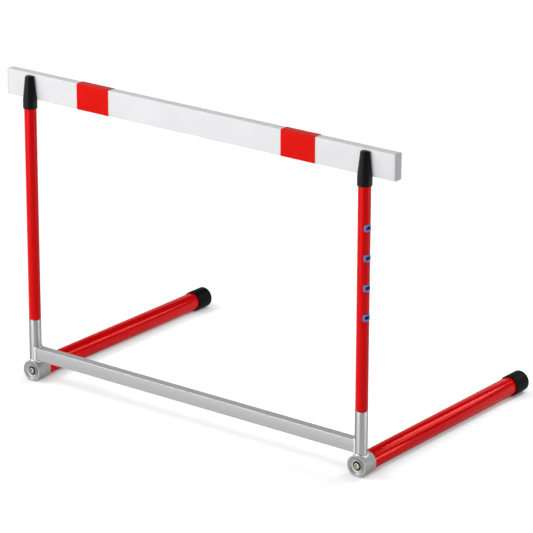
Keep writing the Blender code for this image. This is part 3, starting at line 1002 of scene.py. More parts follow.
@dataclass(frozen=True)
class BlackMoulding(Finish):
    """Satin black plastic with the fine grain of an eroded mould."""

    name: str = "black_moulded_plastic"
    low: Colour = (0.0020, 0.0020, 0.0022)
    high: Colour = (0.0040, 0.0040, 0.0043)
    roughness: Pair = (0.36, 0.44)
    clouds: Pair = (120.0, 3.0)
    tooth: Pair = (2200.0, 2.0)
    depth: float = 0.00005
    strength: float = 0.6
    sockets: tuple[tuple[str, Any], ...] = (
        ("Specular_IOR_Level", 0.15),
        ("Anisotropic", 1.0),
        ("Anisotropic_Rotation", 0.25),
    )


@dataclass(frozen=True)
class CapRubber(Finish):
    """Matte black rubber, dusty where it meets the floor."""

    name: str = "black_rubber"
    low: Colour = (0.004, 0.004, 0.004)
    high: Colour = (0.026, 0.027, 0.026)
    roughness: Pair = (0.46, 0.62)
    clouds: Pair = (160.0, 4.0)
    tooth: Pair = (1500.0, 3.0)
    depth: float = 0.0001
    strength: float = 0.7
    cloud_range: Pair = (0.35, 0.65)
    sockets: tuple[tuple[str, Any], ...] = (("Specular_IOR_Level", 0.05),)
    dust_height: float = 0.006

    def clouded(self, recipe: Recipe) -> bpy.types.NodeSocket:
        """Patches of dust that fade out above the floor.

        Args:
            recipe: the finish's recipe.

        Returns:
            The colour.
        """
        height = recipe.parts(recipe.place)["Z"]
        low = recipe.spread(height, 1.0, 0.0, 0.0, self.dust_height)
        patch = recipe.spread(recipe.grain(*self.clouds), 0.0, 1.0, *self.cloud_range)
        return recipe.blend(recipe.maths("MULTIPLY", low, patch), self.low, self.high)


@dataclass(frozen=True)
class RingPlastic(Finish):
    """Blue moulded plastic."""

    name: str = "blue_plastic"
    low: Colour = (0.020, 0.210, 0.600)
    high: Colour = (0.032, 0.290, 0.780)
    roughness: Pair = (0.30, 0.42)
    clouds: Pair = (300.0, 3.0)
    tooth: Pair = (2600.0, 1.0)
    depth: float = 0.00003


@dataclass(frozen=True)
class Nylon(Finish):
    """Natural nylon with a waxy mottling."""

    name: str = "natural_nylon"
    low: Colour = (0.640, 0.630, 0.580)
    high: Colour = (0.730, 0.720, 0.670)
    roughness: Pair = (0.42, 0.56)
    clouds: Pair = (220.0, 3.0)
    tooth: Pair = (1800.0, 2.0)
    depth: float = 0.00004
    sockets: tuple[tuple[str, Any], ...] = (
        ("Subsurface_Weight", 0.15),
        ("Subsurface_Scale", 0.002),
    )


@dataclass(frozen=True)
class WeldMetal(Finish):
    """Bright weld metal with a faint heat tint and fine ripples."""

    name: str = "weld_metal"
    low: Colour = (0.850, 0.850, 0.855)
    high: Colour = (0.760, 0.750, 0.730)
    roughness: Pair = (0.28, 0.40)
    clouds: Pair = (420.0, 3.0)
    tooth: Pair = (1300.0, 2.0)
    depth: float = 0.0001
    strength: float = 0.6
    sockets: tuple[tuple[str, Any], ...] = (("Metallic", 0.6),)


@dataclass(frozen=True)
class YellowZinc(Finish):
    """Yellow zinc plate, paler where it is worn."""

    name: str = "yellow_zinc"
    low: Colour = (0.400, 0.350, 0.250)
    high: Colour = (0.500, 0.465, 0.390)
    roughness: Pair = (0.26, 0.38)
    clouds: Pair = (350.0, 4.0)
    tooth: Pair = (2000.0, 1.0)
    depth: float = 0.00002
    sockets: tuple[tuple[str, Any], ...] = (("Metallic", 1.0),)


@dataclass(frozen=True)
class DarkZincAndPaintedShade(YellowZinc):
    """Dark zinc plate on the lock buttons; on the hubs' washers its near black is a painted shade in the
    counterbore.
    """

    name: str = "dark_zinc_and_painted_shade"
    # Near black: on the washers, the painted shade of the counterbore
    low: Colour = (0.012, 0.011, 0.010)
    high: Colour = (0.030, 0.028, 0.026)
    roughness: Pair = (0.45, 0.6)


@dataclass(frozen=True)
class BrightSteel(Finish):
    """Bright drawn steel with a film of oil stain."""

    name: str = "bright_steel"
    low: Colour = (0.540, 0.540, 0.545)
    high: Colour = (0.400, 0.395, 0.390)
    roughness: Pair = (0.26, 0.42)
    clouds: Pair = (160.0, 4.0)
    tooth: Pair = (1500.0, 2.0)
    depth: float = 0.00002
    stretch: Triple | None = (1.0, 1.0, 0.1)
    sockets: tuple[tuple[str, Any], ...] = (("Metallic", 1.0),)


@dataclass(frozen=True)
class LinedFinish(Finish):
    """A finish with fine lines over its clouds and its tooth, drawn out by the stretch."""

    lines: Pair = (700.0, 3.0)
    line_depth: float = 0.00004
    line_strength: float = 0.4

    def mixed(self) -> bpy.types.Material:
        """Mixes the finish, whose roughness follows the lines.

        Returns:
            The finished material.
        """
        recipe = Recipe(self.name).fix(**self.fixed())
        lines = recipe.grain(*self.lines, self.stretch)
        tooth = recipe.relief(recipe.grain(*self.tooth), self.depth, self.strength)
        relief = recipe.relief(lines, self.line_depth, self.line_strength, tooth)
        return recipe.dress(self.clouded(recipe), recipe.spread(lines, *self.roughness), relief)


@dataclass(frozen=True)
class WhiteShell(LinedFinish):
    """The satin white bar, with draw marks along its length and light handling marks."""

    name: str = "white_bar_plastic"
    low: Colour = (0.810, 0.810, 0.825)
    high: Colour = (0.760, 0.762, 0.775)
    roughness: Pair = (0.34, 0.46)
    clouds: Pair = (9.0, 5.0)
    tooth: Pair = (1600.0, 1.0)
    depth: float = 0.00002
    strength: float = 0.4
    cloud_range: Pair = (0.35, 0.75)
    stretch: Triple | None = (0.02, 1.0, 1.0)
    sockets: tuple[tuple[str, Any], ...] = (("Specular_IOR_Level", 0.35),)
    lines: Pair = (260.0, 3.0)
    line_depth: float = 0.00003


@dataclass(frozen=True)
class ShadedWhitePlug(WhiteShell):
    """The bar's end plugs, painted a little greyer than the bar as a painted shade on the bar's end
    faces.
    """

    name: str = "white_plug_painted_shade"
    # The bar's white painted darker: painted shade on the end faces
    low: Colour = (0.660, 0.660, 0.668)
    high: Colour = (0.600, 0.602, 0.612)


@dataclass(frozen=True)
class SatinAluminium(LinedFinish):
    """The crossbar's satin aluminium, with fine brushing over a blasted grain."""

    name: str = "satin_aluminium"
    low: Colour = (0.380, 0.381, 0.384)
    high: Colour = (0.465, 0.466, 0.469)
    roughness: Pair = (0.38, 0.46)
    clouds: Pair = (950.0, 2.0)
    tooth: Pair = (950.0, 2.0)
    depth: float = 0.00005
    stretch: Triple | None = (0.06, 1.0, 1.0)
    edge: Colour = (0.85, 0.85, 0.85)
    bare: float = 0.60
    gloss: float = 0.3
    drawn: float = 0.0
    drawn_turn: float = 0.25

    def fixed(self) -> dict[str, Any]:
        """The bare metal, the tint of its edges, which where it is dark is a painted shade at the
        grazing edges, and the way that highlights are drawn out.

        Returns:
            The shader's values by name.
        """
        return {
            "Metallic": self.bare,
            "Specular_IOR_Level": self.gloss,
            "Specular_Tint": (*self.edge, 1.0),
            "Anisotropic": self.drawn,
            "Anisotropic_Rotation": self.drawn_turn,
        }


@dataclass(frozen=True)
class StubAluminium(SatinAluminium):
    """The stubs' aluminium, brushed and shining along their height."""

    name: str = "satin_stub_aluminium"
    # Darker than the crossbar's aluminium: a painted shade on the stubs
    low: Colour = (0.340, 0.341, 0.344)
    high: Colour = (0.410, 0.411, 0.414)
    roughness: Pair = (0.34, 0.44)
    stretch: Triple | None = (1.0, 1.0, 0.06)
    # A dark edge tint: painted shade along the stubs' outlines
    edge: Colour = (0.15, 0.15, 0.15)
    bare: float = 0.95
    drawn: float = 0.7


@dataclass(frozen=True)
class HubAluminium(SatinAluminium):
    """The hubs' duller aluminium."""

    name: str = "satin_hub_aluminium"
    high: Colour = (0.470, 0.471, 0.474)
    roughness: Pair = (0.50, 0.60)
    stretch: Triple | None = (1.0, 0.3, 1.0)
    # A dark edge tint: painted shade along the hubs' outlines
    edge: Colour = (0.15, 0.15, 0.15)
    bare: float = 0.3


@dataclass(frozen=True)
class TurnedAluminium(Finish):
    """Aluminium faced on a lathe, with fine rings round each hub's axis.

    The tooth is the noise that the rings wobble by.
    """

    name: str = "turned_aluminium"
    low: Colour = (0.400, 0.401, 0.404)
    high: Colour = (0.480, 0.481, 0.484)
    roughness: Pair = (0.42, 0.54)
    clouds: Pair = (800.0, 2.0)
    tooth: Pair = (400.0, 3.0)
    depth: float = 0.00001
    sockets: tuple[tuple[str, Any], ...] = (
        ("Metallic", 0.6),
        # The dark tint: painted shade at the disc's grazing edges
        ("Specular_Tint", (0.15, 0.15, 0.15, 1.0)),
    )
    hub_away: float = 0.53
    hub_height: float = 0.028
    rings: float = 9000.0
    wobble: float = 0.0006

    def mixed(self) -> bpy.types.Material:
        """Mixes the finish, whose roughness and relief follow the rings.

        Returns:
            The finished material.
        """
        recipe = Recipe(self.name).fix(**self.fixed())
        place = recipe.parts(recipe.place)
        across = recipe.maths("SUBTRACT", recipe.maths("ABSOLUTE", place["X"]), self.hub_away)
        rise = recipe.maths("SUBTRACT", place["Z"], self.hub_height)
        wobble = recipe.maths("MULTIPLY", recipe.grain(*self.tooth), self.wobble)
        away = recipe.maths("ADD", recipe.distance(across, rise), wobble)
        turn = recipe.maths("SINE", recipe.maths("MULTIPLY", away, self.rings))
        rough = recipe.spread(turn, *self.roughness, start=-1.0, end=1.0)
        relief = recipe.relief(turn, self.depth, self.strength)
        return recipe.dress(self.clouded(recipe), rough, relief)


class Coat(Enum):
    """The finishes, each with the record's slot that it fills."""

    RED = (RedCoat(), "red_coat")
    POST = (UprightCoat(), "red_coat")
    TAPE = (RedTape(), "band_red")
    WHITE = (WhiteShell(), "bar_white")
    PLUG = (ShadedWhitePlug(), "bar_white")
    BLACK = (BlackMoulding(), "black_plastic")
    RUBBER = (CapRubber(), "rubber_cap")
    BLUE = (RingPlastic(), "ring_blue")
    NYLON = (Nylon(), "nylon")
    SATIN = (SatinAluminium(), "hub_aluminium")
    STUB = (StubAluminium(), "hub_aluminium")
    HUB = (HubAluminium(), "hub_aluminium")
    TURNED = (TurnedAluminium(), "face_aluminium")
    WELD = (WeldMetal(), "weld")
    ZINC = (YellowZinc(), "zinc")
    DARK = (DarkZincAndPaintedShade(), "zinc")
    STEEL = (BrightSteel(), "steel")

    @property
    def finish(self) -> Finish:
        """The finish to mix."""
        return self.value[0]

    @property
    def slot(self) -> str:
        """The record's slot."""
        return self.value[1]


@dataclass
class FinishRack:
    """Every finish, mixed once."""

    mixed: dict[Coat, bpy.types.Material] = field(default_factory=dict)

    def fill(self) -> FinishRack:
        """Mixes the finishes and gives the rack."""
        self.mixed = {coat: coat.finish.mixed() for coat in Coat}
        return self

    def paint(self, piece: bpy.types.Object, coat: Coat) -> None:
        """Gives a piece one finish all over."""
        piece.data.materials.clear()
        piece.data.materials.append(self.mixed[coat])


# Sub-assemblies


@dataclass
class SubAssembly:
    """What the sub-assemblies share: the finishes and the way a piece joins the frame."""

    rack: FinishRack

    def seat(self, piece: bpy.types.Object, node: str, body: Body, coat: Coat) -> None:
        """Puts a finished piece on its body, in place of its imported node.

        Args:
            piece: the finished object.
            node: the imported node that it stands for.
            body: the body that it rides on.
            coat: its finish.
        """
        self.rack.paint(piece, coat)
        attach(piece, body.value)
        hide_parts(node)
        LOG.info("%s: %d faces, rides on %s", piece.name, len(piece.data.polygons), body.value)

    def seat_pair(
        self,
        piece: bpy.types.Object,
        node: str,
        coat: Coat,
        right: Body,
        left: Body,
        axis: Vector | None = None,
    ) -> None:
        """Seats a right-hand piece and its left-hand copy.

        Args:
            piece: the right-hand piece, whose name ends in _right.
            node: the right-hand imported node, with right in its name.
            coat: the finish of both.
            right: the body of the right-hand piece.
            left: the body of the left-hand piece.
            axis: the right-hand upright's axis if the copy is turned half round, not mirrored.
        """
        partner = left_copy(piece, piece.name.replace("_right", "_left"), axis)
        self.seat(piece, node, right, coat)
        self.seat(partner, node.replace("_right", "_left"), left, coat)


@dataclass
class HubSet(SubAssembly):
    """Right and left hub: the level tube, its dished disc, the tie screw and its washer.

    Each step of the dish's profile gives the share of the way from its rim to its
    collar, and the share of its depth.
    """

    edge: float = 0.0009
    inner_edge: float = 0.0003
    dish_radius: float = 0.0234
    dish_depth: float = 0.0055
    dish_profile: Steps = ((0.15, 0.32), (0.35, 0.64), (0.6, 0.87), (0.85, 0.98), (1.0, 1.0))
    collar_radius: float = 0.0142
    collar_setback: float = 0.0026
    collar_edge: float = 0.0006
    counterbore_radius: float = 0.0121
    counterbore_depth: float = 0.0099
    screw_hole: float = 0.0053
    head_radius: float = 0.0078
    head_length: float = 0.008
    head_lift: float = 0.0019
    head_edge: float = 0.0012
    shank_radius: float = 0.005
    shank_edge: float = 0.0008
    socket_flats: float = 0.008
    socket_depth: float = 0.005
    socket_angle: float = math.radians(50.0)
    washer_overlap: float = 0.0012
    washer_edge: float = 0.0004

    def __post_init__(self) -> None:
        """Reads where the right-hand hub lies."""
        self.radius = half("hub_right", Z)
        self.axis = Vector((middle("hub_right", X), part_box("hub_right")[0].y, self.radius))

    def place(self, node: str) -> Pair:
        """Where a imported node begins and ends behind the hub's front."""
        low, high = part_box(node)
        return low.y - self.axis.y, high.y - self.axis.y

    def build(self) -> None:
        """Builds both hubs."""
        both = (Body.BASE, Body.BASE)
        self.seat_pair(self.tube(), "hub_right", Coat.HUB, *both)
        self.seat_pair(self.disc(), "hub_face_right", Coat.TURNED, *both)
        self.seat_pair(self.screw(), "tie_bolt_right", Coat.ZINC, *both)
        # The near black washer is a painted shade that darkens the ring round the screw head
        self.seat_pair(self.washer(), "tie_washer_right", Coat.DARK, *both)

    def tube(self) -> bpy.types.Object:
        """Bores the level tube and rounds its rims.

        Returns:
            The right-hand tube.
        """
        start, end = self.place("hub_right")
        bore = half("foot_tube_right", X) + FIT
        tube = Turning("hub_tube_right", self.axis, BACK, self.radius, (start, end)).bore(bore)
        tube.round_rim(start, self.radius, self.edge)
        tube.round_rim(end, self.radius, self.edge)
        return tube.round_rim(start, bore, self.inner_edge, segments=2).done()

    def disc(self) -> bpy.types.Object:
        """Turns the disc with its dish, its collar and the screw's counterbore.

        Returns:
            The right-hand disc.
        """
        start, end = self.place("hub_face_right")
        radius = half("hub_face_right", Z)
        disc = Turning("hub_disc_right", self.axis, BACK, radius, (start, end))
        floor = start + self.dish_depth
        seat = self.collar_setback + self.counterbore_depth
        run = self.dish_radius - self.collar_radius
        steps = [(self.dish_radius, start)]
        for share, drop in self.dish_profile:
            steps.append((self.dish_radius - run * share, start + (floor - start) * drop))
        steps += [
            (self.collar_radius, self.collar_setback),
            (self.counterbore_radius, self.collar_setback),
            (self.counterbore_radius, seat),
            (self.screw_hole, seat),
        ]
        disc.carry(start, radius, steps)
        disc.carry(end, radius, [(self.screw_hole, end)])
        disc.join_faces((seat, end), self.screw_hole)
        for rim in (self.collar_radius, self.counterbore_radius):
            disc.round_rim(self.collar_setback, rim, self.collar_edge)
        return disc.round_rim(start, self.dish_radius, self.inner_edge, segments=2).done()

    def screw(self) -> bpy.types.Object:
        """Turns the socket screw and cuts its hexagon.

        Returns:
            The right-hand screw.
        """
        head, tip = self.place("tie_bolt_right")
        under = head + self.head_length
        head -= self.head_lift
        screw = Turning("tie_screw_right", self.axis, BACK, self.head_radius, (head, under), SMALL)
        screw.carry(under, self.head_radius, [(self.shank_radius, under), (self.shank_radius, tip)])
        screw.round_rim(head, self.head_radius, self.head_edge, segments=4)
        screw.round_rim(tip, self.shank_radius, self.shank_edge, segments=2)
        reach = (head - SOCKET_OVERSHOOT, head + self.socket_depth)
        screw.combine(hexagon(self.axis, self.socket_flats, reach))
        return screw.soften(self.inner_edge, 2, self.socket_angle).done()

    def washer(self) -> bpy.types.Object:
        """Turns the flat washer, whose near black finish is a painted shade in the counterbore.

        Returns:
            The right-hand washer.
        """
        radius = half("tie_washer_right", Z) + self.washer_overlap
        reach = self.place("tie_washer_right")
        washer = Turning("tie_ring_right", self.axis, BACK, radius, reach, SMALL)
        washer.bore(self.screw_hole)
        washer.round_rim(reach[0], radius, self.washer_edge)
        return washer.round_rim(reach[0], self.screw_hole, self.inner_edge, segments=2).done()


@dataclass
class FootSet(SubAssembly):
    """Right and left foot: the red pipe and the rubber cap on its end."""

    cap_floor: float = 0.006
    cap_rounding: float = 0.0042
    cap_lip: float = 0.001

    def __post_init__(self) -> None:
        """Reads where the right-hand foot lies."""
        self.radius = half("foot_tube_right", X)
        self.axis = Vector((middle("foot_tube_right", X), 0.0, middle("foot_tube_right", Z)))

    def build(self) -> None:
        """Builds both feet."""
        both = (Body.BASE, Body.BASE)
        self.seat_pair(self.pipe(), "foot_tube_right", Coat.RED, *both)
        self.seat_pair(self.cap(), "foot_cap_right", Coat.RUBBER, *both)

    def pipe(self) -> bpy.types.Object:
        """Bores the pipe and breaks its edges.

        Returns:
            The right-hand pipe.
        """
        low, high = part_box("foot_tube_right")
        reach = (low.y, high.y)
        pipe = Turning("foot_pipe_right", self.axis, BACK, self.radius, reach)
        pipe.bore(self.radius - PIPE_WALL)
        for place in reach:
            pipe.round_rim(place, self.radius, PIPE_EDGE, segments=2)
        return pipe.done()

    def cap(self) -> bpy.types.Object:
        """Hollows the cap from its mouth, then rounds its closed end and its lip.

        Returns:
            The right-hand cap.
        """
        low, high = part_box("foot_cap_right")
        wide = half("foot_cap_right", Z)
        inside = self.radius + FIT
        cap = Turning("foot_end_right", self.axis, BACK, wide, (low.y, high.y))
        cap.carry(low.y, wide, [(inside, low.y), (inside, high.y - self.cap_floor)])
        cap.round_rim(high.y, wide, self.cap_rounding, segments=7)
        cap.round_rim(low.y, wide, self.cap_lip, segments=4)
        return cap.round_rim(low.y, inside, PIPE_EDGE, segments=2).done()


@dataclass
class UprightSet(SubAssembly):
    """Right and left upright: the stub, the red pipe, its rings, the top bush and the hub's weld.

    The height holes and their rings are oblong, lying across the pipe. A hole, a
    ring's sleeve, its opening and its flange each have half a width and half a height.
    """

    radius: float = UPRIGHT_RADIUS
    stub_wall: float = 0.003
    stub_edge: float = 0.0008
    hole_half: Pair = (0.0080, 0.0062)
    sleeve_half: Pair = (0.0077, 0.0059)
    opening_half: Pair = (0.0069, 0.0046)
    ring_half: Pair = (0.0100, 0.0087)
    ring_corner: float = 0.0044
    ring_flange: float = 0.0016
    ring_edge: float = 0.0004
    ring_angle: float = math.radians(40.0)
    ring_count: int = 4
    hole_reach: Pair = (0.009, 0.023)
    bush_lip: float = 0.0015
    bush_bore: float = 0.0128
    bush_edge: float = 0.0005
    weld_radius: float = 0.0020
    weld_stops: int = 26
    weld_swelling: float = 0.00028
    seam_lift: float = 0.01
    core_lift: float = 0.02

    def __post_init__(self) -> None:
        """Reads where the right-hand upright stands."""
        low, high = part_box("upright_tube_right")
        self.axis = standing_axis("upright_tube_right")
        self.pipe_reach = (low.z, high.z)
        self.hub_low, self.hub_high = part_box("hub_right")

    def column(self, name: str, radius: float, low: float, high: float) -> Turning:
        """An upright cylinder on the upright's axis."""
        return Turning(name, self.axis, UP, radius, (low, high))

    def build(self) -> None:
        """Builds both uprights."""
        both = (Body.BASE, Body.BASE)
        stub = self.stub()
        weld = self.weld()
        self.seat_pair(stub, "upright_socket_right", Coat.STUB, *both)
        self.seat_pair(weld, "hub_weld_right", Coat.WELD, *both)
        self.seat_pair(self.pipe(), "upright_tube_right", Coat.POST, *both, self.axis)
        self.seat_pair(self.bush(), "guide_bush_right", Coat.NYLON, *both)
        lowest = self.ring()
        rings = [lowest]
        for number in range(2, self.ring_count + 1):
            lift = self.ring_height(number) - self.ring_height(1)
            rings.append(moved_copy(lowest, "hole_ring_right_%d" % number, Vector((0, 0, lift))))
        for number, ring in enumerate(rings, start=1):
            self.seat_pair(ring, "height_ring_right_%d" % number, Coat.BLUE, *both, self.axis)

    def ring_height(self, number: int) -> float:
        """The height of one ring's middle, counted from the lowest."""
        return middle("height_ring_right_%d" % number, Z)

    def hub_block(self, spare: float) -> Turning:
        """A cylinder in the hub's place, to cut with.

        Args:
            spare: how much larger its radius is.

        Returns:
            The cylinder.
        """
        wide = half("hub_right", Z)
        centre = Vector((self.axis.x, 0, self.hub_low.z + wide))
        reach = (self.hub_low.y - OVERSHOOT, self.hub_high.y + OVERSHOOT)
        return Turning("hub_block", centre, BACK, wide + spare, reach, 2 * ROUND)

    def stub(self) -> bpy.types.Object:
        """Bores the stub, copes it to the hub and breaks its top edge.

        Returns:
            The right-hand stub.
        """
        low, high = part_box("upright_socket_right")
        stub = self.column("upright_stub_right", self.radius, low.z - OVERSHOOT, high.z)
        stub.bore(self.radius - self.stub_wall)
        stub.round_rim(high.z, self.radius, self.stub_edge, segments=4)
        stub.combine(self.hub_block(2 * FIT))
        return stub.done()

    def weld(self) -> bpy.types.Object:
        """Lays a rippled bead in the saddle between the stub and the hub.

        Returns:
            The right-hand weld.
        """
        clear_selection()
        bpy.ops.mesh.primitive_circle_add(
            vertices=BEAD_PITCH * self.weld_stops,
            radius=self.radius + BEAD_OUT * self.weld_radius,
            location=self.axis + UP * (self.hub_high.z + self.seam_lift),
        )
        line = Workpiece(taken("hub_seam_right"))
        line.drop_on(self.hub_block(0.0), "z")
        bead = Bead(line.body, self.weld_radius).ripple(self.weld_swelling)
        bead.lifted(Vector((0, 0, BEAD_RISE * self.weld_radius)))
        bead.combine(self.hub_block(BEAD_GAP))
        reach = (half("hub_right", Z), self.hub_high.z + self.core_lift)
        bead.combine(self.column("core", self.radius + BEAD_GAP, *reach))
        return bead.done(BEAD_ANGLE)

    def pipe(self) -> bpy.types.Object:
        """Bores the red pipe and cuts its height holes.

        Returns:
            The right-hand pipe.
        """
        pipe = self.column("upright_pipe_right", self.radius, *self.pipe_reach)
        pipe.bore(self.radius - PIPE_WALL)
        for place in self.pipe_reach:
            pipe.round_rim(place, self.radius, PIPE_EDGE, segments=2)
        for number in range(1, self.ring_count + 1):
            pipe.combine(self.slab("drill", self.hole_half, number))
        return pipe.done()

    def bush(self) -> bpy.types.Object:
        """Turns the bush that guides the inner pipe in the upright's top.

        Returns:
            The right-hand bush.
        """
        low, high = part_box("guide_bush_right")
        seat = high.z - self.bush_lip
        sleeve = self.radius - PIPE_WALL - FIT
        bush = self.column("top_bush_right", self.radius, seat, high.z)
        bush.carry(seat, self.radius, [(sleeve, seat), (sleeve, low.z)])
        bush.carry(low.z, sleeve, [(self.bush_bore, low.z)])
        bush.carry(high.z, self.radius, [(self.bush_bore, high.z)])
        bush.join_faces((low.z, high.z), self.bush_bore)
        return bush.round_rim(high.z, self.radius, self.bush_edge).done()

    def slab(self, name: str, size: Pair, number: int = 1) -> Workpiece:
        """A block through one height hole with its long edges rounded.

        Args:
            name: the object's name.
            size: half its width and half its height.
            number: the hole, counted from the lowest.

        Returns:
            The block as a workpiece.
        """
        low = Vector((self.hole_reach[0], -size[0], -size[1]))
        high = Vector((self.hole_reach[1], size[0], size[1]))
        block = Workpiece.block(name, low, high)
        block.bevel(lambda edge: runs_along(edge, X), self.ring_corner, segments=6)
        block.body.rotation_euler.z = RING_TURN
        block.body.location = self.axis + UP * self.ring_height(number)
        taken(name)
        return block

    def ring(self) -> bpy.types.Object:
        """Fits the oblong plastic ring to the lowest hole, with a flange curved to the pipe.

        Returns:
            The right-hand ring.
        """
        height = self.ring_height(1)
        seat = self.radius + FIT
        face = seat + self.ring_flange
        inner = self.radius - PIPE_WALL + FIT
        reach = (height - 2 * self.ring_half[1], height + 2 * self.ring_half[1])
        ring = self.slab("hole_ring_right_1", self.ring_half)
        ring.combine(self.column("outside", face, *reach), Join.KEEP_SHARED)
        ring.combine(self.column("inside", seat, *reach))
        sleeve = self.slab("sleeve", self.sleeve_half)
        sleeve.combine(self.column("middle", (seat + face) / 2, *reach), Join.KEEP_SHARED)
        sleeve.combine(self.column("bore", inner, *reach))
        ring.combine(sleeve, Join.ADD)
        ring.combine(self.slab("opening", self.opening_half))
        return ring.soften(self.ring_edge, 3, self.ring_angle).done()


@dataclass
class SlidingSet(SubAssembly):
    """Right and left sliding part: the inner pipe and the button that locks it."""

    button_radius: float = 0.0042
    button_rounding: float = 0.0014
    flange_radius: float = 0.006
    flange_thickness: float = 0.0012
    flange_edge: float = 0.0003
    pin_radius: float = 0.002
    hole_reach: Pair = (0.006, 0.018)

    def __post_init__(self) -> None:
        """Reads where the right-hand inner pipe and its button stand."""
        low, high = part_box("mast_tube_right")
        self.radius = half("mast_tube_right", X)
        self.axis = standing_axis("mast_tube_right")
        self.reach = (low.z, high.z)
        self.button_start = self.axis + UP * middle("snap_button_right", Z)

    def build(self) -> None:
        """Builds both inner pipes and both buttons."""
        buttons = (Body.BUTTON_RIGHT, Body.BUTTON_LEFT)
        both = (Body.UPPER, Body.UPPER)
        self.seat_pair(self.pipe(), "mast_tube_right", Coat.POST, *both, self.axis)
        self.seat_pair(self.button(), "snap_button_right", Coat.DARK, *buttons, self.axis)

    def pipe(self) -> bpy.types.Object:
        """Bores the inner pipe and drills the holes for the button and the pin.

        Returns:
            The right-hand inner pipe.
        """
        pipe = Turning("inner_pipe_right", self.axis, UP, self.radius, self.reach)
        pipe.bore(self.radius - PIPE_WALL)
        hole = self.button_radius + FIT
        pipe.combine(Turning("drill", self.button_start, OUTWARD, hole, self.hole_reach, SMALL))
        pipe.combine(pin_drill(self.axis, self.pin_radius + FIT))
        return pipe.done()

    def button(self) -> bpy.types.Object:
        """Turns the button, from its flange inside the pipe to its domed tip.

        Returns:
            The right-hand button.
        """
        start = self.button_start
        packed = frame_node("snap_button_right")
        corners = [packed.matrix_world @ corner.co for corner in packed.data.vertices]
        reach = [(corner - start).dot(OUTWARD) for corner in corners]
        inner, tip = min(reach), max(reach)
        wide, narrow = self.flange_radius, self.button_radius
        flange = inner + self.flange_thickness
        button = Turning("lock_button_right", start, OUTWARD, wide, (inner, flange), SMALL)
        button.carry(flange, wide, [(narrow, flange), (narrow, tip)])
        button.round_rim(tip, narrow, self.button_rounding, segments=6)
        return button.round_rim(flange, wide, self.flange_edge, segments=2).done()


@dataclass
class HolderSet(SubAssembly):
    """Right and left bar holder: a skirt over the upright that tapers to a flat top beside the bar."""

    skirt_radius: float = 0.0188
    skirt_height: float = 0.022
    skirt_edge: float = 0.0007
    shoulder: float = 0.0045
    top_drop: float = 0.005
    top_radius: float = 0.0118
    top_rounding: float = 0.0014
    slope_start: float = 0.002
    spigot_radius: float = 0.0107
    spigot_length: float = 0.066
    cut_width: float = 0.03
    cut_rise: float = 0.01
    screw_hole: float = 0.0033
    screw_reach: float = 0.04
    pin_hole: float = 0.0023

    def __post_init__(self) -> None:
        """Reads where the right-hand holder stands."""
        bar_low, bar_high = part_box("bar")
        self.axis = standing_axis("mast_tube_right")
        self.skirt_top = bar_low.z - FIT
        self.skirt_bottom = self.skirt_top - self.skirt_height
        self.top = bar_high.z - self.top_drop
        self.back = bar_low.y - FIT - self.axis.y

    def build(self) -> None:
        """Builds both holders."""
        self.seat_pair(self.holder(), "bar_holder_right", Coat.BLACK, Body.UPPER, Body.UPPER)

    def holder(self) -> bpy.types.Object:
        """Turns the tapered form, then fits it to the upright, the inner pipe and the bar.

        Returns:
            The right-hand holder.
        """
        reach = (self.skirt_bottom, self.skirt_top)
        holder = Turning("holder_body_right", self.axis, UP, self.skirt_radius, reach)
        share = self.slope_start / (self.top - self.skirt_top)
        near = self.skirt_radius + (self.top_radius - self.skirt_radius) * share
        steps = [(near, self.skirt_top + self.slope_start), (self.top_radius, self.top)]
        holder.carry(self.skirt_top, self.skirt_radius, steps)
        holder.round_rim(self.skirt_bottom, self.skirt_radius, self.skirt_edge)
        holder.round_rim(self.top, self.top_radius, self.top_rounding, segments=5)
        self.fit(holder)
        return holder.done()

    def fit(self, holder: Workpiece) -> None:
        """Cuts the pocket, adds the spigot, and cuts the back flat with its holes.

        Args:
            holder: the outer form.
        """
        step = self.skirt_top - self.shoulder
        reach = (self.skirt_bottom - OVERSHOOT, step)
        holder.combine(Turning("pocket", self.axis, UP, UPRIGHT_RADIUS + FIT, reach))
        reach = (step - self.spigot_length, step + self.shoulder / 2)
        holder.combine(Turning("spigot", self.axis, UP, self.spigot_radius, reach), Join.ADD)
        low = Vector((-self.cut_width, self.back, self.skirt_top))
        high = Vector((self.cut_width, self.cut_width, self.top + self.cut_rise))
        holder.combine(Workpiece.block("back", self.axis + low, self.axis + high))
        for node in ("bar_bolt_right_lower", "bar_bolt_right_upper"):
            start = Vector((self.axis.x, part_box(node)[0].y, middle(node, Z)))
            reach = (-FIT, self.screw_reach)
            holder.combine(Turning("drill", start, BACK, self.screw_hole, reach, SMALL))
        holder.combine(pin_drill(self.axis, self.pin_hole))


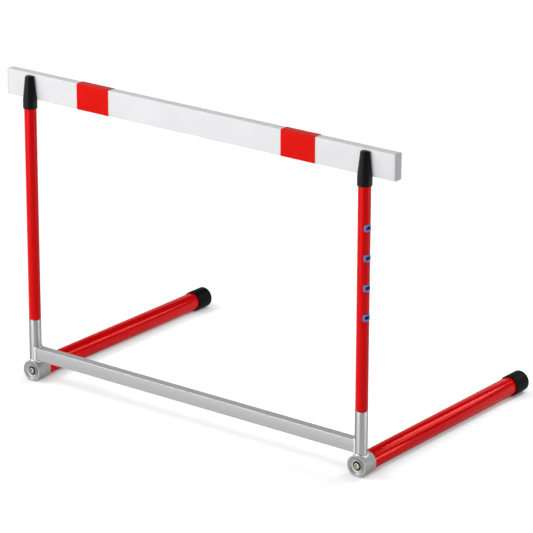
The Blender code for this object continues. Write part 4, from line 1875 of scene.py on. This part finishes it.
@dataclass
class CrossbarSet(SubAssembly):
    """The rectangular tube between the stubs and the welds at its ends."""

    edge: float = 0.0016
    wall: float = 0.002
    core_room: float = 0.01
    weld_radius: float = 0.0027
    weld_swelling: float = 0.00025
    seam_away: float = 0.02
    shortest_side: float = 0.01
    cuts_across: int = 23
    cuts_up: int = 27

    def __post_init__(self) -> None:
        """Reads where the crossbar lies."""
        self.low, self.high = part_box("crossbar")
        self.stub = standing_axis("upright_socket_right")

    def build(self) -> None:
        """Builds the crossbar and its welds."""
        self.seat(self.profile(), "crossbar", Body.BASE, Coat.SATIN)
        self.seat_pair(self.weld(), "crossbar_weld_right", Coat.WELD, Body.BASE, Body.BASE)

    def core(self, side: int, spare: float) -> Turning:
        """An upright cylinder in one stub's place, to cut with.

        Args:
            side: 1 for the right-hand stub and -1 for the left-hand one.
            spare: how much larger its radius is.

        Returns:
            The cylinder.
        """
        axis = Vector((side * self.stub.x, self.stub.y, 0.0))
        reach = (self.low.z - self.core_room, self.high.z + self.core_room)
        return Turning("core", axis, UP, UPRIGHT_RADIUS + spare, reach)

    def rounded(self, name: str, spare: float = 0.0) -> Workpiece:
        """A box in the crossbar's place with its long edges rounded.

        Args:
            name: the object's name.
            spare: how much larger it is all round.

        Returns:
            The box as a workpiece.
        """
        room = Vector((0, spare, spare))
        end = Vector((self.stub.x, 0, 0))
        low = Vector((0, self.low.y, self.low.z)) - room - end
        high = Vector((0, self.high.y, self.high.z)) + room + end
        box = Workpiece.block(name, low, high)
        return box.bevel(lambda edge: runs_along(edge, X), self.edge + spare, segments=4)

    def profile(self) -> bpy.types.Object:
        """Hollows the box and copes its ends to the stubs.

        Returns:
            The crossbar.
        """
        profile = self.rounded("crossbar_profile")
        profile.hollow(is_end, self.wall)
        for side in (-1, 1):
            profile.combine(self.core(side, FIT))
        return profile.done()

    def seam(self, grow: float) -> Workpiece:
        """Draws the crossbar's outline beside the right-hand stub as one closed line.

        Args:
            grow: how far outside the crossbar it lies.

        Returns:
            The line as a workpiece.
        """
        centre = (self.low + self.high) / 2
        place = Vector((self.stub.x - UPRIGHT_RADIUS - self.seam_away, centre.y, centre.z))
        wide = self.high.y - self.low.y + 2 * grow
        tall = self.high.z - self.low.z + 2 * grow
        clear_selection()
        bpy.ops.mesh.primitive_plane_add(size=1, location=place, rotation=(0, math.pi / 2, 0))
        line = Workpiece(taken("crossbar_seam_right"))
        with line.editing():
            bpy.ops.mesh.select_all(action="SELECT")
            bpy.ops.transform.resize(value=(1, wide, tall), center_override=tuple(place))
            bpy.ops.mesh.bevel(
                offset=self.edge + grow,
                segments=3,
                profile=QUARTER_CIRCLE,
                affect="VERTICES",
            )
            bpy.ops.mesh.delete(type="ONLY_FACE")
            for cuts, axis in ((self.cuts_across, Y), (self.cuts_up, Z)):
                line.select(Pick.EDGES, lambda edge: self.is_side(edge, axis))
                bpy.ops.mesh.subdivide(number_cuts=cuts)
        return line

    def is_side(self, edge: Any, axis: int) -> bool:
        """Whether an edge is a whole side of the outline and runs along an axis."""
        return runs_along(edge, axis) and edge.calc_length() > self.shortest_side

    def weld(self) -> bpy.types.Object:
        """Lays a rippled bead where the crossbar meets the right-hand stub.

        Returns:
            The right-hand weld.
        """
        grow = BEAD_OUT * self.weld_radius
        line = self.seam(grow)
        line.drop_on(self.core(1, 0.0), "x")
        bead = Bead(line.body, self.weld_radius).ripple(self.weld_swelling)
        bead.lifted(Vector((-grow, 0, 0)))
        bead.combine(self.core(1, BEAD_GAP))
        bead.combine(self.rounded("crossbar_room", BEAD_GAP))
        return bead.done(BEAD_ANGLE)


@dataclass
class BarSet(SubAssembly):
    """The hollow white bar, its end plugs, its two red bands and the screws behind it."""

    edge: float = 0.0035
    wall: float = 0.002
    plate: float = 0.0025
    tongue: float = 0.014
    plug_edge: float = 0.0009
    tape: float = 0.0006
    screw_radius: float = 0.003
    head_radius: float = 0.0056
    head_rounding: float = 0.0022
    socket_flats: float = 0.004
    socket_depth: float = 0.0018

    def __post_init__(self) -> None:
        """Reads where the bar lies."""
        self.low, self.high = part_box("bar")

    def build(self) -> None:
        """Builds the bar and what is fixed to it."""
        both = (Body.UPPER, Body.UPPER)
        self.seat(self.shell(), "bar", Body.UPPER, Coat.WHITE)
        self.seat_pair(self.plug(), "bar_plug_right", Coat.PLUG, *both)
        self.seat_pair(self.band(), "bar_band_right", Coat.TAPE, *both)
        lower = self.screw()
        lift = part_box("bar_bolt_right_upper")[0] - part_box("bar_bolt_right_lower")[0]
        upper = moved_copy(lower, "bar_screw_right_upper", lift)
        self.seat_pair(lower, "bar_bolt_right_lower", Coat.ZINC, *both)
        self.seat_pair(upper, "bar_bolt_right_upper", Coat.ZINC, *both)

    def long_box(self, name: str, low: Vector, high: Vector, edge: float) -> Workpiece:
        """A box whose edges along the bar are rounded."""
        box = Workpiece.block(name, low, high)
        return box.bevel(lambda line: runs_along(line, X), edge, segments=8)

    def shell(self) -> bpy.types.Object:
        """Hollows the bar and drills it for the screws.

        Returns:
            The bar.
        """
        shell = self.long_box("bar_shell", self.low, self.high, self.edge)
        shell.hollow(is_end, self.wall)
        reach = (-OVERSHOOT, self.high.y - self.low.y + OVERSHOOT)
        for side in ("left", "right"):
            for level in ("lower", "upper"):
                node = "bar_bolt_%s_%s" % (side, level)
                start = Vector((middle(node, X), self.low.y, middle(node, Z)))
                shell.combine(Turning("drill", start, BACK, self.screw_radius + FIT, reach, SMALL))
        return shell.done()

    def plug(self) -> bpy.types.Object:
        """Draws the plug's tongue out of its plate and rounds the plate's rim.

        Returns:
            The right-hand plug.
        """
        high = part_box("bar_plug_right")[1]
        low = Vector((high.x - self.plate, self.low.y, self.low.z))
        plug = self.long_box("bar_end_right", low, high, self.edge)
        inset = self.wall + FIT
        inward = Vector((-self.tongue, 0, 0))
        plug.pull(lambda face: face.normal.x < -SQUARE_ON, inset, inward)
        plug.bevel(lambda edge: at_level(edge, X, high.x), self.plug_edge)
        return plug.done()

    def band(self) -> bpy.types.Object:
        """Wraps the tape round the bar.

        Returns:
            The right-hand band.
        """
        low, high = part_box("bar_band_right")
        band = self.long_box("bar_tape_right", low, high, self.edge + self.tape + FIT)
        band.hollow(is_end, self.tape)
        return band.done()

    def screw(self) -> bpy.types.Object:
        """Turns one domed screw and cuts its hexagon.

        Returns:
            The lower right-hand screw.
        """
        node = "bar_bolt_right_lower"
        low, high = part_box(node)
        start = Vector((middle(node, X), 0, middle(node, Z)))
        wide, narrow = self.head_radius, self.screw_radius
        seat = self.high.y + FIT
        screw = Turning("bar_screw_right_lower", start, BACK, wide, (seat, high.y), SMALL)
        screw.carry(seat, wide, [(narrow, seat), (narrow, low.y)])
        screw.round_rim(high.y, wide, self.head_rounding, segments=7)
        reach = (high.y - self.socket_depth, high.y + SOCKET_OVERSHOOT)
        screw.combine(hexagon(start, self.socket_flats, reach))
        return screw.done()


@dataclass
class HiddenParts(SubAssembly):
    """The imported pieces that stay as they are, inside the tubes and the bar."""

    coats: dict[str, Coat] = field(default_factory=lambda: {
        "foot_plug": Coat.STEEL,
        "upright_spigot": Coat.TURNED,
        "slide_bush": Coat.NYLON,
        "button_spring": Coat.STEEL,
        "holder_pin": Coat.STEEL,
        "bar_spacer": Coat.NYLON,
    })

    def build(self) -> None:
        """Finishes each of them on both sides."""
        for stem, coat in self.coats.items():
            for side in ("left", "right"):
                node = frame_node("%s_%s" % (stem, side))
                for slot in node.material_slots:
                    slot.material = self.rack.mixed[coat]
                LOG.info("%s: kept as packed", node.name)


# Studio


@dataclass(frozen=True)
class Softbox:
    """One soft lamp: where it hangs, what it faces, its size and its brightness."""

    name: str
    place: Triple
    target: Triple
    size: Pair
    power: float
    only_gloss: bool = False

    def hang(self) -> None:
        """Adds the lamp and turns it to its target."""
        place, target = Vector(self.place), Vector(self.target)
        turn = (target - place).to_track_quat("-Z", "Y").to_euler()
        clear_selection()
        bpy.ops.object.light_add(type="AREA", location=place, rotation=turn)
        lamp = bpy.context.active_object
        lamp.name = self.name
        lamp.data.shape = "RECTANGLE"
        lamp.data.size, lamp.data.size_y = self.size
        lamp.data.energy = self.power
        lamp.visible_camera = False
        lamp.visible_diffuse = not self.only_gloss
        LOG.info("%s: hung", self.name)


@dataclass
class Studio:
    """The camera, the lamps, the white surroundings and the pale floor.

    The camera's focal length and centre are in the photograph's pixels. The
    surroundings are white up to the walls' top and dim in the ceiling above it, and
    towards -X the white rises. The floor glows white with three lifts: one in the open,
    one far away, and a lower one where ambient occlusion is low, which paints a shade
    round the object. Its painted cyan glow cancels the feet's red bounce light beside them.
    """

    frame_size: float = 533.0
    film_width: float = 36.0
    focal_pixels: float = 3180.2268
    centre: Pair = (259.3217, 271.8488)
    azimuth: float = math.radians(37.443)
    elevation: float = math.radians(19.378)
    roll: float = math.radians(0.139)
    distance: float = 8.0761
    farthest: float = 200.0
    target: Triple = (0.0899, -0.1872, 0.3888)
    fill: float = 0.36
    ceiling: float = 0.06
    wall_top: Pair = (0.06, 0.2)
    wall_start: float = 0.25
    wall_rise: float = 2.5
    floor_side: float = 60.0
    floor_colour: Colour = (0.95, 0.95, 0.95)
    floor_lift: float = 0.480
    # The floor's glow in full occlusion, a painted shade
    shade_lift: float = 0.06
    shade_reach: float = 0.3
    shade_samples: int = 24
    far_lift: float = 0.18
    far_reach: Pair = (2.0, 4.5)
    # A painted cyan glow beside the feet that cancels their red bounce light on the floor
    bounce_cancelling_glow: Colour = (0.03, 0.165, 0.165)
    foot_away: float = 0.53
    foot_reach: Pair = (-0.30, 0.30)
    tint_end: float = 0.03
    tint_side: Pair = (0.09, 0.16)
    tint_shade: float = 0.75
    lamps: tuple[Softbox, ...] = (
        Softbox("front_softbox", (-2.3, -10.0, 1.5), (0.0, 0.0, 0.4), (7.2, 2.8), 500.0),
        Softbox("near_back_strip", (0.95, 2.6, 1.75), (0.95, 2.6, 0.0), (0.46, 3.4), 37.0),
        Softbox("far_back_strip", (1.85, 2.6, 1.75), (1.85, 2.6, 0.0), (1.3, 3.4), 46.0, True),
        Softbox("high_left_strip", (-2.7, -1.6, 3.6), (0.0, -0.3, 0.5), (1.6, 1.0), 46.0),
        Softbox("edge_strip", (-2.9, -1.5, 3.9), (0.0, -0.3, 0.5), (2.4, 0.8), 60.0, True),
        Softbox("right_side_strip", (3.35, 0.9, 0.5), (0.0, -0.3, 0.3), (1.7, 0.9), 35.0, True),
    )

    def build(self) -> None:
        """Sets up the whole studio."""
        bpy.context.scene.view_settings.view_transform = "Standard"
        self.camera()
        self.surroundings()
        self.floor()
        for lamp in self.lamps:
            lamp.hang()

    def camera(self) -> None:
        """Stands the camera where the photograph was taken from."""
        sin_a, cos_a = math.sin(self.azimuth), math.cos(self.azimuth)
        sin_e, cos_e = math.sin(self.elevation), math.cos(self.elevation)
        ahead = Vector((-sin_a * cos_e, cos_a * cos_e, -sin_e))
        level = Vector((cos_a, sin_a, 0))
        above = level.cross(ahead)
        right = math.cos(self.roll) * level + math.sin(self.roll) * above
        up = math.cos(self.roll) * above - math.sin(self.roll) * level
        place = Vector(self.target) - ahead * self.distance
        turn = Matrix((right, up, -ahead)).transposed().to_euler()
        clear_selection()
        bpy.ops.object.camera_add(location=place, rotation=turn)
        camera = bpy.context.active_object
        camera.name = "photo_camera"
        camera.data.sensor_width = self.film_width
        camera.data.lens = self.focal_pixels * self.film_width / self.frame_size
        camera.data.shift_x = (self.frame_size / 2 - self.centre[0]) / self.frame_size
        camera.data.shift_y = (self.centre[1] - self.frame_size / 2) / self.frame_size
        camera.data.clip_end = self.farthest
        bpy.context.scene.camera = camera

    def surroundings(self) -> None:
        """Makes the world white up to its dim ceiling where it is seen, and a plain fill elsewhere."""
        world = bpy.data.worlds.new("white_studio")
        bpy.context.scene.world = world
        world.use_nodes = True
        nodes = Nodes(world.node_tree)
        background = nodes.tree.nodes["Background"]
        background.inputs["Color"].default_value = (1.0, 1.0, 1.0, 1.0)
        way = nodes.parts(nodes.add("ShaderNodeTexCoord").outputs["Generated"])
        left = nodes.maths("MINIMUM", nodes.maths("ADD", way["X"], self.wall_start), 0.0)
        level = nodes.maths("MULTIPLY_ADD", left, self.wall_rise, way["Z"])
        wall = nodes.spread(level, 1.0, self.ceiling, *self.wall_top)
        shown = nodes.spread(nodes.looked_at(), self.fill, wall, 0.0, 1.0)
        nodes.feed(background.inputs["Strength"], shown)

    def beside_feet(
        self,
        floor: Recipe,
        place: dict[str, bpy.types.NodeSocket],
        openness: bpy.types.NodeSocket,
    ) -> bpy.types.NodeSocket:
        """Gives 1 in the shade beside the two feet, where their red bounce light would colour the floor
        and a painted cyan glow cancels it.

        Args:
            floor: the floor's recipe.
            place: the floor's coordinates by name.
            openness: how open the floor is, from 0 to 1.

        Returns:
            The share.
        """
        across = floor.maths("SUBTRACT", floor.maths("ABSOLUTE", place["X"]), self.foot_away)
        near = floor.spread(floor.maths("ABSOLUTE", across), 1.0, 0.0, *self.tint_side)
        start, end = [(edge - self.tint_end, edge + self.tint_end) for edge in self.foot_reach]
        behind = floor.spread(place["Y"], 0.0, 1.0, *start)
        before = floor.spread(place["Y"], 1.0, 0.0, *end)
        shade = floor.spread(openness, 1.0, 0.0, self.tint_shade, 1.0)
        sides = floor.maths("MULTIPLY", near, shade)
        return floor.maths("MULTIPLY", sides, floor.maths("MULTIPLY", behind, before))

    def floor(self) -> None:
        """Lays the pale floor, which shows white, keeps the lamps' shadows and has a painted shade where
        ambient occlusion lowers its glow.
        """
        clear_selection()
        bpy.ops.mesh.primitive_plane_add(size=self.floor_side, location=(0, 0, 0))
        plane = bpy.context.active_object
        plane.name = "studio_floor"
        floor = Recipe("pale_floor").fix(
            Base_Color=(*self.floor_colour, 1.0),
            Roughness=1.0,
            Specular_IOR_Level=0.0,
        )
        ambient = floor.add("ShaderNodeAmbientOcclusion", samples=self.shade_samples)
        ambient.inputs["Distance"].default_value = self.shade_reach
        openness = ambient.outputs["AO"]
        place = floor.parts(floor.place)
        away = floor.distance(place["X"], place["Y"])
        # Painted shade: the floor's glow drops where ambient occlusion finds the object near
        lift = floor.spread(openness, self.shade_lift, self.floor_lift, 0.0, 1.0)
        far = floor.spread(away, 0.0, self.far_lift, *self.far_reach)
        looked_at = floor.looked_at()
        surface = floor.shader.outputs[0]
        for colour, share in (
            ((1.0, 1.0, 1.0), floor.maths("ADD", lift, far)),
            # The painted cyan glow beside the feet
            (self.bounce_cancelling_glow, self.beside_feet(floor, place, openness)),
        ):
            glow = floor.add("ShaderNodeEmission")
            glow.inputs["Color"].default_value = (*colour, 1.0)
            floor.feed(glow.inputs["Strength"], floor.maths("MULTIPLY", share, looked_at))
            both = floor.add("ShaderNodeAddShader")
            floor.feed(both.inputs[0], surface)
            floor.feed(both.inputs[1], glow.outputs[0])
            surface = both.outputs[0]
        floor.feed(floor.tree.nodes["Material Output"].inputs["Surface"], surface)
        plane.data.materials.append(floor.material)


def main() -> None:
    """Loads the frame and builds everything on it."""
    logging.basicConfig(level=logging.INFO, format="%(name)s: %(message)s")
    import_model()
    Studio().build()
    rack = FinishRack().fill()
    for kind in (HubSet, FootSet, UprightSet, CrossbarSet, SlidingSet, HolderSet, BarSet, HiddenParts):
        LOG.info("building %s", kind.__name__)
        kind(rack).build()


if __name__ == "__main__":
    main()
